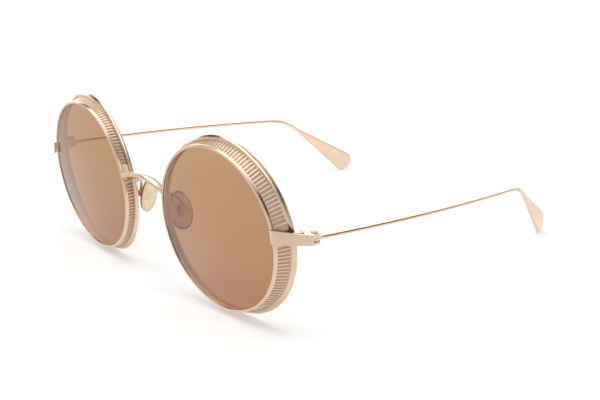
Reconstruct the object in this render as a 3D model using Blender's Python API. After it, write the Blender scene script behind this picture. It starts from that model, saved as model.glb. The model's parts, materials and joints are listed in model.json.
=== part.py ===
"""Round metal sunglasses with deep fluted rims, folding temples and rocking nose pads.

The glasses stand open on a table: the fronts face -Y, the wearer's left is +X and the
origin is on the table, under the middle of the whole object.
"""

from math import asin
from math import atan
from math import cos
from math import degrees
from math import pi
from math import radians
from math import sin
from math import sqrt

import bmesh
import bpy
from mathutils import Matrix
from mathutils import Vector

MM = 0.001

# Clearances
SEAM = 0.15 * MM
LENS_CLEARANCE = 0.10 * MM
HINGE_CLEARANCE = 0.06 * MM
TONGUE_CLEARANCE = 0.10 * MM
PAD_PIN_CLEARANCE = 0.05 * MM

# How far a cutter runs past what it cuts
CUT_MARGIN = 1.0 * MM

# Resolution of the round pieces
RING_SEGMENTS = 60
BORE_SEGMENTS = 16
SMALL_SCREW_SEGMENTS = 12
ROD_SEGMENTS = 12

# Points closer than this are one, and edges turned past these angles are sharp or bevelled
MERGE_DISTANCE = 0.0005 * MM
SHARP_ANGLE = radians(35)
BEVEL_ANGLE = radians(40)

# Superellipse power of a round section
ROUND = 2.0

# How the two fronts stand
NOSE_GAP_HALF = 11.0 * MM
WRAP = radians(3.66)
FRONT_TILT = radians(4.71)

# Front rim that holds the lens; depths run back from the lens axis's origin
LENS_OPENING_RADIUS = 25.5 * MM
FRONT_RIM_WALL = 0.8 * MM
FRONT_RIM_FACE = -0.42 * MM
FRONT_RIM_DEPTH = 1.14 * MM
FRONT_RIM_CHAMFER = 0.16 * MM
GROOVE_INSET = 0.62 * MM
GROOVE_DEPTH = 0.35 * MM
GROOVE_HALF_HEIGHT = 0.32 * MM
FRONT_RIM_RADIUS = LENS_OPENING_RADIUS + FRONT_RIM_WALL
HALF_LENS_SPACING = NOSE_GAP_HALF + FRONT_RIM_RADIUS
GROOVE_CENTRE = FRONT_RIM_FACE + GROOVE_INSET

# Lens
LENS_THICKNESS = 1.8 * MM
LENS_CURVE_RADIUS = 140.0 * MM
LENS_RINGS = 3
LENS_EDGE_RADIUS = LENS_OPENING_RADIUS - LENS_CLEARANCE
LENS_EDGE_FRONT = GROOVE_CENTRE - GROOVE_HALF_HEIGHT

# Fluted band: a cone cut by the leaning plane of the rear rim
FLUTE_COUNT = 140
BAND_STEP = 0.3 * MM
BAND_FLARE = 1.06 * MM
BAND_FRONT = FRONT_RIM_FACE + FRONT_RIM_DEPTH + SEAM
BAND_FRONT_RADIUS = FRONT_RIM_RADIUS - BAND_STEP
BAND_REAR_RADIUS = BAND_FRONT_RADIUS + BAND_FLARE
BAND_WALL_FRONT = 0.42 * MM
BAND_WALL_REAR = 0.8 * MM
FLUTE_DEPTH = 0.24 * MM
FLUTE_RIDGE_SHARE = 0.22
FLUTE_FAN = 1.45 * MM
PLAIN_LIFT = 0.12 * MM
PLAIN_NASAL = (159.0, 173.0)
PLAIN_TEMPORAL = (2.0, 16.0)

# Rear rim
REAR_DEPTH = 3.75 * MM
REAR_DEPTH_SWING = 0.98 * MM
REAR_OFFSET = 0.79 * MM
REAR_RIM_LIP = 1.44 * MM
REAR_RIM_BACKING = 0.96 * MM
REAR_RIM_THICKNESS = 0.8 * MM
REAR_RIM_ROUNDING = 0.24 * MM
REAR_RIM_RADIUS = BAND_REAR_RADIUS + REAR_RIM_LIP
REAR_RIM_INNER_RADIUS = BAND_REAR_RADIUS - REAR_RIM_BACKING
REAR_RIM_LEAN = atan(REAR_DEPTH_SWING / REAR_RIM_RADIUS)

# Bridge bar: a thin plate arched over the nose
BRIDGE_FRONT_PROUD = 0.94 * MM
BRIDGE_REAR_SHORT = 0.28 * MM
BRIDGE_FRONT_HEIGHT = 9.35 * MM
BRIDGE_REAR_HEIGHT = 7.75 * MM
BRIDGE_THICKNESS = 1.3 * MM
BRIDGE_FRONT_SAG = 1.8 * MM
BRIDGE_REAR_SAG = 2.1 * MM
BRIDGE_WAVE_REACH = 1.5 * MM
BRIDGE_FRONT_CURL = 0.68 * MM
BRIDGE_REAR_CURL = 1.02 * MM
BRIDGE_EDGE_CUT = 0.35 * MM
BRIDGE_END_REACH = 2.4 * MM
BRIDGE_STATIONS = 18
GUSSET_REACH = 4.0 * MM
GUSSET_DROP = 3.6 * MM
GUSSET_FRONT_SHARE = 0.25
BRIDGE_HALF_LENGTH = NOSE_GAP_HALF + BRIDGE_END_REACH
BRIDGE_HALF_WAVE = NOSE_GAP_HALF + BRIDGE_WAVE_REACH
GUSSET_START = NOSE_GAP_HALF - GUSSET_REACH

# End piece: an outer plate that wraps the front rim and carries the hinge block
END_FRONT_HEIGHT = 4.5 * MM
END_FRONT_HALF_HEIGHT = 1.98 * MM
END_REAR_HALF_HEIGHT = 1.62 * MM
END_PLATE_THICKNESS = 0.7 * MM
END_LIP_LENGTH = 1.2 * MM
END_LIP_THICKNESS = 0.5 * MM
END_LIP_TOP_ANGLE = 14.0
END_BEVEL = 0.1 * MM
END_CORNER_REACH = 1.2 * MM
END_BEND_OUTSET = 0.55 * MM
END_BEND_LEAD = 1.25 * MM
END_BEND_BLEND = 0.45 * MM

# Hinge
HINGE_OUTSET = 3.38 * MM
HINGE_SETBACK = 3.46 * MM
HINGE_HEIGHT = 3.6 * MM
HINGE_BLOCK_RISE = 0.18 * MM
HINGE_BLOCK_RADIUS = 1.7 * MM
HINGE_BLOCK_LENGTH = 2.6 * MM
HINGE_BLOCK_ARC = 8
HINGE_PIN_RADIUS = 0.6 * MM
HINGE_HEAD_REACH = 0.45 * MM
HINGE_HEAD_HEIGHT = 0.28 * MM
HINGE_HEAD_CROWN = 0.08 * MM
HINGE_HEAD_TAPER = 0.15 * MM
TONGUE_THICKNESS = 1.15 * MM
TONGUE_INSET = 0.2 * MM
TONGUE_NECK = 0.9 * MM
TONGUE_ARC = 14
END_REAR_HEIGHT = HINGE_HEIGHT + HINGE_BLOCK_RISE
HINGE_HEAD_RADIUS = HINGE_PIN_RADIUS + HINGE_HEAD_REACH
TONGUE_RADIUS = HINGE_BLOCK_RADIUS - TONGUE_INSET
TONGUE_REACH = HINGE_BLOCK_RADIUS + TONGUE_NECK
SCREW_SLOT_WIDTH = 0.26 * MM
SCREW_SLOT_DEPTH = 0.16 * MM

# Closing block that locks the rim behind the plate
CLOSING_GAP = 0.35 * MM
CLOSING_DEPTH = 3.4 * MM
CLOSING_OVERLAP = 1.0 * MM
CLOSING_SCREW_LEAD = 0.15 * MM
CLOSING_HEAD_RADIUS = 0.55 * MM
CLOSING_SHANK_RADIUS = 0.35 * MM
CLOSING_HEAD_HEIGHT = 0.32 * MM
CLOSING_RECESS = 0.5 * MM

# Temple: a bowed rod that turns down behind the ear and flattens into a paddle
ROD_RADIUS = 0.65 * MM
ROD_LENGTH = 94.8 * MM
ROD_INSET = 5.3 * MM
ROD_DROP = 6.4 * MM
ROD_BOW = 2.74 * MM
ROD_LIFT = 0.19 * MM
ROD_STATIONS = 14
ROD_STEP = 0.001
EAR_SHARE = 0.93
EAR_STATIONS = 8
EAR_STIFFNESS = 1.3
PADDLE_START = Vector((-2.65, 8.95, -4.94)) * MM
PADDLE_LENGTH = 27.0 * MM
PADDLE_FALL = radians(37.2)
PADDLE_INWARD = radians(20.1)
PADDLE_START_WIDTH = 1.2 * MM
PADDLE_WIDTH = 8.16 * MM
PADDLE_THICKNESS = 1.1 * MM
PADDLE_END_LENGTH = 3.55 * MM
PADDLE_STATIONS = 6
PADDLE_END_STATIONS = 5
PADDLE_END_TURN = radians(80)
PADDLE_SQUARENESS = 6.0

# Nose pads, as the left one lies
PAD_FROM_RIM = Vector((0.72, 4.77, -2.27)) * MM
PAD_UP = Vector((-0.238, -0.048, 0.970)).normalized()
PAD_REARWARD = Vector((0.240, 0.965, 0.107)).normalized()
PAD_HALF_LENGTH = 6.4 * MM
PAD_HALF_WIDTH = 3.7 * MM
PAD_EGG = 0.08
PAD_BACK = 0.8 * MM
PAD_FACE = 1.0 * MM
PAD_SEGMENTS = 24

# The pad's outline from back to face: share of the back's or the face's depth, and scale
PAD_SECTIONS = (
    (-1.0, 0.9),
    (-0.65, 0.985),
    (0.0, 1.0),
    (0.5, 0.965),
    (0.85, 0.85),
    (1.0, 0.6),
)

# Pad lug, box, screw and arm
LUG_ROCK_ROOM = 0.45 * MM
LUG_PLATE_THICKNESS = 0.45 * MM
LUG_PLATE_HALF_LENGTH = 2.2 * MM
LUG_PLATE_HALF_WIDTH = 1.5 * MM
LUG_TAB_HALF_WIDTH = 0.8 * MM
LUG_EYE_WALL = 0.5 * MM
LUG_EYE_ARC = 10
PAD_PIN_RADIUS = 0.45 * MM
PAD_HEAD_REACH = 0.27 * MM
PAD_HEAD_HEIGHT = 0.36 * MM
BOX_EAR = 0.6 * MM
BOX_HALF_HEIGHT = 1.15 * MM
BOX_FRONT = 0.6 * MM
BOX_BACK_WALL = 0.5 * MM
LUG_REACH = BOX_FRONT + LUG_ROCK_ROOM + LUG_PLATE_THICKNESS + SEAM + PAD_BACK
LUG_EYE_RADIUS = PAD_PIN_RADIUS + PAD_PIN_CLEARANCE + LUG_EYE_WALL
PAD_HEAD_RADIUS = PAD_PIN_RADIUS + PAD_HEAD_REACH
ARM_RADIUS = 0.45 * MM
ARM_FOOT_THICKNESS = 0.6 * MM
ARM_FOOT_WIDTH = 1.1 * MM
ARM_FOOT_SEAM = 0.22 * MM
ARM_FOOT_FALL = 2.98 * MM
ARM_FOOT_RISE = 3.18 * MM
ARM_FOOT_STATIONS = 5
ARM_STATIONS = 9
ARM_ROUNDING_STATIONS = 4
ARM_TIP_STATIONS = 2
ARM_TIP_SHARE = 0.35
ARM_RISE = Vector((0.1, 1.7, 1.9)) * MM
ARM_FALL = Vector((-0.3, 0.2, 0.0)) * MM
ARM_FALL_HEIGHT = 4.2 * MM
ARM_SEGMENTS = 8

# Surface colours: linear RGB, roughness, metallic
ROSE_GOLD = ((0.86, 0.62, 0.47), 0.16, 1.0)
PALE_GOLD = ((0.88, 0.68, 0.52), 0.2, 1.0)
SCREW_STEEL = ((0.55, 0.42, 0.34), 0.28, 1.0)
COPPER_LENS = ((0.42, 0.22, 0.13), 0.05, 0.0)
PAD_CREAM = ((0.78, 0.68, 0.46), 0.3, 0.0)

SIDES = (("left", 1), ("right", -1))


def clear_scene():
    """Remove every object, so that the scene holds only the sunglasses."""
    for item in list(bpy.data.objects):
        bpy.data.objects.remove(item, do_unlink=True)


def surface(name, look):
    """A Principled material from a colour, a roughness and a metallic value."""
    colour, roughness, metallic = look
    made = bpy.data.materials.new(name)
    made.use_nodes = True
    shader = made.node_tree.nodes["Principled BSDF"]
    shader.inputs["Base Color"].default_value = (*colour, 1.0)
    shader.inputs["Roughness"].default_value = roughness
    shader.inputs["Metallic"].default_value = metallic
    return made


def empty(name, location, parent=None, rotation=(0.0, 0.0, 0.0)):
    """An empty that carries other objects."""
    made = bpy.data.objects.new(name, None)
    bpy.context.scene.collection.objects.link(made)
    made.location = location
    made.rotation_euler = rotation
    made.parent = parent
    return made


def solid(name, shape, parent, look=None, location=(0.0, 0.0, 0.0), rotation=(0.0, 0.0, 0.0)):
    """Turn a bmesh into an object with its own material, or into a cutter without one."""
    bmesh.ops.remove_doubles(shape, verts=shape.verts, dist=MERGE_DISTANCE)
    bmesh.ops.recalc_face_normals(shape, faces=shape.faces)
    mesh = bpy.data.meshes.new(name)
    shape.to_mesh(mesh)
    shape.free()
    made = bpy.data.objects.new(name, mesh)
    bpy.context.scene.collection.objects.link(made)
    made.parent = parent
    made.location = location
    made.rotation_euler = rotation
    if look:
        mesh.materials.append(surface(name, look))
        mesh.shade_smooth()
        mesh.set_sharp_from_angle(angle=SHARP_ANGLE)
    return made


def combine(target, tool, operation):
    """Add a Boolean with a helper that isn't drawn."""
    tool.hide_render = True
    tool.display_type = "WIRE"
    modifier = target.modifiers.new(tool.name, "BOOLEAN")
    modifier.operation = operation
    modifier.object = tool
    modifier.solver = "EXACT"


def soften(target, width):
    """Bevel the sharp edges."""
    modifier = target.modifiers.new("Bevel", "BEVEL")
    modifier.width = width
    modifier.segments = 1
    modifier.limit_method = "ANGLE"
    modifier.angle_limit = BEVEL_ANGLE


def turned(profile, segments=RING_SEGMENTS):
    """Spin a profile of (radius, depth) pairs about the lens axis; depth runs along -Z."""
    shape = bmesh.new()
    points = [shape.verts.new((radius, 0.0, -depth)) for radius, depth in profile]
    edges = [shape.edges.new((points[i - 1], points[i])) for i in range(len(points))]
    bmesh.ops.spin(
        shape,
        geom=points + edges,
        cent=(0.0, 0.0, 0.0),
        axis=(0.0, 0.0, 1.0),
        dvec=(0.0, 0.0, 0.0),
        angle=2 * pi,
        steps=segments,
        use_merge=True,
    )
    return shape


def prism(outline, low, high):
    """Raise a plan outline; low and high give the two heights at a distance back."""
    shape = bmesh.new()
    bottom = [shape.verts.new((x, y, low(y))) for x, y in outline]
    top = [shape.verts.new((x, y, high(y))) for x, y in outline]
    shape.faces.new(bottom)
    shape.faces.new(top)
    for i in range(len(outline)):
        shape.faces.new((bottom[i - 1], bottom[i], top[i], top[i - 1]))
    return shape


def loft(sections):
    """Skin a list of closed sections and cap both ends."""
    shape = bmesh.new()
    rings = [[shape.verts.new(point) for point in section] for section in sections]
    for first, second in zip(rings, rings[1:]):
        for i in range(len(first)):
            shape.faces.new((first[i - 1], first[i], second[i], second[i - 1]))
    shape.faces.new(rings[0])
    shape.faces.new(rings[-1])
    return shape


def cylinder(start, end, radius, segments=BORE_SEGMENTS):
    """A round bar between two points."""
    start = Vector(start)
    end = Vector(end)
    along = end - start
    shape = bmesh.new()
    turn = Vector((0.0, 0.0, 1.0)).rotation_difference(along).to_matrix().to_4x4()
    bmesh.ops.create_cone(
        shape,
        cap_ends=True,
        segments=segments,
        radius1=radius,
        radius2=radius,
        depth=along.length,
        matrix=Matrix.Translation((start + end) / 2) @ turn,
    )
    return shape


def stepped_pin(axis, stops, segments=BORE_SEGMENTS):
    """A pin along an axis from (distance, radius) stops, with square shoulders."""
    axis = Vector(axis).normalized()
    side = axis.orthogonal().normalized()
    other = axis.cross(side)
    sections = []
    for distance, radius in stops:
        centre = axis * distance
        section = []
        for i in range(segments):
            angle = 2 * pi * i / segments
            section.append(centre + side * radius * cos(angle) + other * radius * sin(angle))
        sections.append(section)
    return loft(sections)


def block(centre, axes, halves):
    """A box about a centre, along three axes, from its half sizes."""
    corners = []
    for sign in (-1, 1):
        ring = []
        for a, b in ((-1, -1), (1, -1), (1, 1), (-1, 1)):
            point = Vector(centre) + axes[0] * a * halves[0] + axes[1] * b * halves[1]
            ring.append(point + axes[2] * sign * halves[2])
        corners.append(ring)
    return loft(corners)


def oval(centre, along_u, along_v, half_u, half_v, power, count):
    """Points of a superellipse: power 2 is an ellipse, and a higher one is squarer."""
    points = []
    for i in range(count):
        angle = 2 * pi * (i + 0.5) / count
        u = abs(cos(angle)) ** (2 / power) * (1 if cos(angle) >= 0 else -1)
        v = abs(sin(angle)) ** (2 / power) * (1 if sin(angle) >= 0 else -1)
        points.append(centre + along_u * half_u * u + along_v * half_v * v)
    return points


def mirrored(point, side):
    """The same point on the wearer's left (1) or right (-1)."""
    return Vector((point[0] * side, point[1], point[2]))


def axes_of_lens():
    """Temporal, upward and rearward unit vectors of the left lens."""
    outward = Vector((cos(WRAP), sin(WRAP), 0.0))
    level = Vector((-sin(WRAP), cos(WRAP), 0.0))
    upward = Vector((0.0, 0.0, cos(FRONT_TILT))) - level * sin(FRONT_TILT)
    rearward = level * cos(FRONT_TILT) + Vector((0.0, 0.0, sin(FRONT_TILT)))
    return outward, upward, rearward


def rim_point(angle, radius, depth, offset=0.0, swing=0.0):
    """A point about the left lens axis; swing is the extra depth at the temple side."""
    outward, upward, rearward = axes_of_lens()
    turn = radians(angle)
    centre = Vector((HALF_LENS_SPACING, 0.0, 0.0))
    sideways = outward * (offset + radius * cos(turn))
    return centre + sideways + upward * radius * sin(turn) + rearward * (depth + swing * cos(turn))


def rear_edge(angle):
    """Outer back edge of the left rear rim."""
    depth = REAR_DEPTH + REAR_RIM_THICKNESS
    return rim_point(angle, REAR_RIM_RADIUS, depth, REAR_OFFSET, REAR_DEPTH_SWING)


def hinge_place(side):
    """Middle of the tongue on a temple's hinge axis."""
    edge = rear_edge(0.0)
    return mirrored((edge.x + HINGE_OUTSET, edge.y + HINGE_SETBACK, HINGE_HEIGHT), side)


def lens_front_depth(radius):
    """Depth of the lens's front surface at a distance from its axis."""
    edge = LENS_EDGE_RADIUS
    bulge = sqrt(LENS_CURVE_RADIUS**2 - radius**2) - sqrt(LENS_CURVE_RADIUS**2 - edge**2)
    return LENS_EDGE_FRONT - bulge


def make_lens(name, frame):
    """A curved lens with a V-shaped edge that sits in the rim's groove."""
    edge = LENS_EDGE_RADIUS
    steps = [edge * i / LENS_RINGS for i in range(LENS_RINGS + 1)]
    front = [(radius, lens_front_depth(radius)) for radius in steps]
    tip = (edge + GROOVE_DEPTH, GROOVE_CENTRE)
    foot = (edge, GROOVE_CENTRE + GROOVE_HALF_HEIGHT)
    rear = [(radius, lens_front_depth(radius) + LENS_THICKNESS) for radius in reversed(steps)]
    return solid(name, turned(front + [tip, foot] + rear), frame, COPPER_LENS)


def make_front_rim(name, frame):
    """The thin rim in front, with the groove for the lens."""
    inner = LENS_OPENING_RADIUS
    outer = FRONT_RIM_RADIUS
    face = FRONT_RIM_FACE
    rear = face + FRONT_RIM_DEPTH
    cut = FRONT_RIM_CHAMFER
    profile = [
        (inner, face + cut),
        (inner + cut, face),
        (outer - cut, face),
        (outer, face + cut),
        (outer, rear),
        (inner, rear),
        (inner, GROOVE_CENTRE + GROOVE_HALF_HEIGHT),
        (inner + GROOVE_DEPTH, GROOVE_CENTRE),
        (inner, GROOVE_CENTRE - GROOVE_HALF_HEIGHT),
    ]
    return solid(name, turned(profile), frame, PALE_GOLD)


def plain_at(angle):
    """Whether the fluting is left out at this angle, under the bridge or the end piece."""
    for start, end in (PLAIN_NASAL, PLAIN_TEMPORAL):
        if start <= angle <= end:
            return True
    return False


def band_outline():
    """(angle, lift above the cone) for each corner of the fluted outline."""
    corners = []
    pitch = 360.0 / FLUTE_COUNT
    for i in range(FLUTE_COUNT):
        angle = i * pitch
        if plain_at(angle) and plain_at(angle + pitch):
            corners.append([(angle, PLAIN_LIFT)])
            continue
        ridge = pitch * FLUTE_RIDGE_SHARE
        corners.append(
            [(angle, 0.0), (angle + ridge, -FLUTE_DEPTH), (angle + pitch - ridge, -FLUTE_DEPTH)]
        )
    return corners


def make_band(name, side, frame):
    """The fluted cone between the front rim and the leaning rear rim."""
    shape = bmesh.new()
    rear = REAR_DEPTH - SEAM
    swing = REAR_DEPTH_SWING * BAND_REAR_RADIUS / REAR_RIM_RADIUS

    def at(angle, radius, is_rear):
        turn = radians(angle)
        if is_rear:
            turn += FLUTE_FAN / BAND_REAR_RADIUS * sin(turn)
        offset = REAR_OFFSET if is_rear else 0.0
        depth = rear + swing * cos(turn) if is_rear else BAND_FRONT
        return shape.verts.new((side * (offset + radius * cos(turn)), radius * sin(turn), -depth))

    sectors = []
    for corners in band_outline():
        first = corners[0][0]
        sectors.append(
            {
                "front": [at(angle, BAND_FRONT_RADIUS + lift, False) for angle, lift in corners],
                "rear": [at(angle, BAND_REAR_RADIUS + lift, True) for angle, lift in corners],
                "front_inner": at(first, BAND_FRONT_RADIUS - BAND_WALL_FRONT, False),
                "rear_inner": at(first, BAND_REAR_RADIUS - BAND_WALL_REAR, True),
            }
        )
    for i, sector in enumerate(sectors):
        following = sectors[(i + 1) % len(sectors)]
        front = sector["front"] + [following["front"][0]]
        rear_loop = sector["rear"] + [following["rear"][0]]
        for j in range(len(front) - 1):
            shape.faces.new((front[j], front[j + 1], rear_loop[j + 1], rear_loop[j]))
        shape.faces.new([*front, following["front_inner"], sector["front_inner"]])
        shape.faces.new([*rear_loop, following["rear_inner"], sector["rear_inner"]])
        shape.faces.new(
            (
                sector["front_inner"],
                following["front_inner"],
                following["rear_inner"],
                sector["rear_inner"],
            )
        )
    return solid(name, shape, frame, ROSE_GOLD)


def make_rear_rim(name, side, frame):
    """The rounded rim at the back, which leans so that the band is deepest at the temple."""
    outer = REAR_RIM_RADIUS
    thick = REAR_RIM_THICKNESS
    round_off = REAR_RIM_ROUNDING
    front_round = thick - round_off
    shoulder = front_round * (1 - cos(pi / 4))
    profile = [
        (REAR_RIM_INNER_RADIUS, 0.0),
        (outer - front_round, 0.0),
        (outer - shoulder, shoulder),
        (outer, front_round),
        (outer - round_off, thick),
        (REAR_RIM_INNER_RADIUS, thick),
    ]
    place = (side * REAR_OFFSET, 0.0, -REAR_DEPTH)
    return solid(name, turned(profile), frame, ROSE_GOLD, place, (0.0, side * REAR_RIM_LEAN, 0.0))


def bridge_section(x):
    """Front and rear edges of the bridge bar at one distance from the middle."""
    bow = (x / BRIDGE_HALF_LENGTH) ** 2
    fall = (1 - cos(pi * min(1.0, abs(x) / BRIDGE_HALF_WAVE))) / 2
    past = max(0.0, abs(x) - GUSSET_START) / (BRIDGE_HALF_LENGTH - GUSSET_START)
    drop = GUSSET_DROP * past**2
    nasal_front = rim_point(180.0, FRONT_RIM_RADIUS, FRONT_RIM_FACE).y
    front = nasal_front - BRIDGE_FRONT_PROUD + BRIDGE_FRONT_CURL * bow
    rear = rear_edge(180.0).y - BRIDGE_REAR_SHORT - BRIDGE_REAR_CURL * bow
    front_top = BRIDGE_FRONT_HEIGHT - BRIDGE_FRONT_SAG * fall
    rear_top = BRIDGE_REAR_HEIGHT - BRIDGE_REAR_SAG * fall
    middle_top = (front_top + rear_top) / 2
    cut = BRIDGE_EDGE_CUT
    return [
        Vector((x, front, front_top - BRIDGE_THICKNESS - drop * GUSSET_FRONT_SHARE)),
        Vector((x, front, front_top - cut)),
        Vector((x, front + cut, front_top)),
        Vector((x, rear - cut, rear_top)),
        Vector((x, rear, rear_top - cut)),
        Vector((x, rear, rear_top - BRIDGE_THICKNESS)),
        Vector((x, (front + rear) / 2, middle_top - BRIDGE_THICKNESS - drop)),
    ]


def rim_envelope(name, side, frame):
    """What the bridge must stay clear of: the front rim and the band, with a seam round them."""
    rear = REAR_DEPTH + REAR_RIM_THICKNESS
    inner = LENS_OPENING_RADIUS - BRIDGE_END_REACH - CUT_MARGIN
    front_reach = BRIDGE_FRONT_PROUD + CUT_MARGIN
    band_front = BAND_FRONT_RADIUS + PLAIN_LIFT + SEAM
    slope = (BAND_REAR_RADIUS - REAR_OFFSET - BAND_FRONT_RADIUS) / (
        REAR_DEPTH - REAR_DEPTH_SWING - BAND_FRONT
    )
    profile = [
        (inner, FRONT_RIM_FACE - front_reach),
        (FRONT_RIM_RADIUS + SEAM, FRONT_RIM_FACE - front_reach),
        (FRONT_RIM_RADIUS + SEAM, BAND_FRONT),
        (band_front + slope * (rear - BAND_FRONT), rear),
        (inner, rear),
    ]
    return solid(name, turned(profile), frame)


def rear_envelope(name, side, frame):
    """The rear rim with a seam round it."""
    inner = LENS_OPENING_RADIUS - BRIDGE_END_REACH - CUT_MARGIN
    profile = [
        (inner, -SEAM),
        (REAR_RIM_RADIUS + SEAM, -SEAM),
        (REAR_RIM_RADIUS + SEAM, REAR_RIM_THICKNESS + SEAM),
        (inner, REAR_RIM_THICKNESS + SEAM),
    ]
    place = (side * REAR_OFFSET, 0.0, -REAR_DEPTH)
    return solid(name, turned(profile), frame, None, place, (0.0, side * REAR_RIM_LEAN, 0.0))


def make_bridge(root, frames):
    """The arched bar, trimmed to the two rims that carry it."""
    count = BRIDGE_STATIONS
    stops = [BRIDGE_HALF_LENGTH * (2 * i / count - 1) for i in range(count + 1)]
    bar = loft([bridge_section(x) for x in stops])
    bmesh.ops.triangulate(bar, faces=bar.faces)
    bridge = solid("bridge", bar, root, PALE_GOLD)
    for label, side in SIDES:
        combine(bridge, rim_envelope("rim_space_" + label, side, frames[label]), "DIFFERENCE")
        combine(bridge, rear_envelope("rear_space_" + label, side, frames[label]), "DIFFERENCE")


def end_plan():
    """Plan outline of the left end piece, from the lip round the hinge block and back."""
    rim = rim_point(END_LIP_TOP_ANGLE, FRONT_RIM_RADIUS, FRONT_RIM_FACE)
    lip_back = rim.y - SEAM
    corner = (rim.x + END_CORNER_REACH, lip_back - END_LIP_THICKNESS)
    hinge = hinge_place(1)
    block_front = hinge.y - HINGE_BLOCK_LENGTH
    bend = (hinge.x + END_BEND_OUTSET, block_front - END_BEND_LEAD)
    run = Vector((bend[0] - corner[0], bend[1] - corner[1])).normalized()
    inward = Vector((-run.y, run.x)) * END_PLATE_THICKNESS
    inner_corner = (corner[0] + inward.x, lip_back)
    inner_bend = (bend[0] + inward.x, bend[1] + inward.y)
    lip_end = corner[0] - END_LIP_LENGTH
    outline = [
        (lip_end, lip_back),
        (lip_end, corner[1]),
        corner,
        bend,
        (hinge.x + HINGE_BLOCK_RADIUS, block_front + END_BEND_BLEND),
    ]
    for i in range(HINGE_BLOCK_ARC + 1):
        turn = pi * i / HINGE_BLOCK_ARC
        across = HINGE_BLOCK_RADIUS * cos(turn)
        outline.append((hinge.x + across, hinge.y + HINGE_BLOCK_RADIUS * sin(turn)))
    outline.append((hinge.x - HINGE_BLOCK_RADIUS, block_front))
    outline.append(inner_bend)
    outline.append(inner_corner)
    return outline, inner_corner, inner_bend


def along_plate(front, rear, y):
    """A size that changes evenly from the lip to the hinge block."""
    share = min(1.0, max(0.0, y / (hinge_place(1).y - HINGE_BLOCK_LENGTH)))
    return front + (rear - front) * share


def end_top(y):
    """Height of the end piece's upper side."""
    return along_plate(
        END_FRONT_HEIGHT + END_FRONT_HALF_HEIGHT, END_REAR_HEIGHT + END_REAR_HALF_HEIGHT, y
    )


def end_bottom(y):
    """Height of the end piece's lower side."""
    return along_plate(
        END_FRONT_HEIGHT - END_FRONT_HALF_HEIGHT, END_REAR_HEIGHT - END_REAR_HALF_HEIGHT, y
    )


def make_end_piece(name, side, root):
    """The outer plate with its lip and the slotted hinge block."""
    outline = [(x * side, y) for x, y in end_plan()[0]]
    piece = solid(name, prism(outline, end_bottom, end_top), root, PALE_GOLD)
    soften(piece, END_BEVEL)
    hinge = hinge_place(side)
    slot = TONGUE_THICKNESS / 2 + TONGUE_CLEARANCE
    front = -TONGUE_RADIUS - SEAM
    rear = HINGE_BLOCK_RADIUS + CUT_MARGIN
    cut = block(
        hinge + Vector((0.0, (front + rear) / 2, 0.0)),
        (Vector((1, 0, 0)), Vector((0, 1, 0)), Vector((0, 0, 1))),
        (rear, (rear - front) / 2, slot),
    )
    combine(piece, solid("tongue_slot_" + name, cut, root), "DIFFERENCE")
    reach = Vector((0.0, 0.0, 2 * END_REAR_HALF_HEIGHT))
    bore = cylinder(hinge - reach, hinge + reach, HINGE_PIN_RADIUS + HINGE_CLEARANCE)
    combine(piece, solid("hinge_bore_" + name, bore, root), "DIFFERENCE")


def slotted(screw, name, centre, across, along, parent):
    """Cut a driver slot across a screw's head."""
    third = across.cross(along)
    halves = (HINGE_HEAD_RADIUS + CUT_MARGIN, SCREW_SLOT_WIDTH / 2, SCREW_SLOT_DEPTH)
    cut = block(centre, (across, third, along), halves)
    combine(screw, solid(name, cut, parent), "DIFFERENCE")


def make_hinge_screw(name, side, root):
    """The vertical screw that the temple turns on."""
    hinge = hinge_place(side)
    top = end_top(hinge.y) + SEAM / 2
    bottom = end_bottom(hinge.y) + SEAM
    stops = [
        (bottom, HINGE_PIN_RADIUS),
        (top, HINGE_PIN_RADIUS),
        (top, HINGE_HEAD_RADIUS),
        (top + HINGE_HEAD_HEIGHT - HINGE_HEAD_CROWN, HINGE_HEAD_RADIUS),
        (top + HINGE_HEAD_HEIGHT, HINGE_HEAD_RADIUS - HINGE_HEAD_TAPER),
    ]
    up = Vector((0, 0, 1))
    place = (hinge.x, hinge.y, 0.0)
    screw = solid(name, stepped_pin(up, stops), root, SCREW_STEEL, place)
    head = Vector(place) + up * (top + HINGE_HEAD_HEIGHT)
    across = Vector((0.8, 0.6 * side, 0.0)).normalized()
    slotted(screw, "slot_" + name, head, across, up, root)


def closing_plan():
    """Plan outline of the left closing block and the place of its screw."""
    corner, bend = end_plan()[1:]
    run = Vector((bend[0] - corner[0], bend[1] - corner[1])).normalized()
    away = Vector((-run.y, run.x)) * CLOSING_GAP
    hinge = hinge_place(1)
    block_front = hinge.y - HINGE_BLOCK_LENGTH
    inner = rear_edge(0.0).x + SEAM
    block_side = hinge.x - HINGE_BLOCK_RADIUS - SEAM
    rear = block_front + CLOSING_OVERLAP
    front = rear - CLOSING_DEPTH

    def on_plate(y):
        share = (y - corner[1] - away.y) / run.y
        return corner[0] + away.x + run.x * share

    corner_y = block_front - SEAM
    reach = bend[1] - SEAM
    plan = [
        (inner, front),
        (on_plate(front), front),
        (on_plate(reach), reach),
        (block_side, corner_y),
        (block_side, rear),
        (inner, rear),
    ]
    screw = ((inner + block_side) / 2, corner_y - CLOSING_SCREW_LEAD)
    return plan, screw


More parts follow.
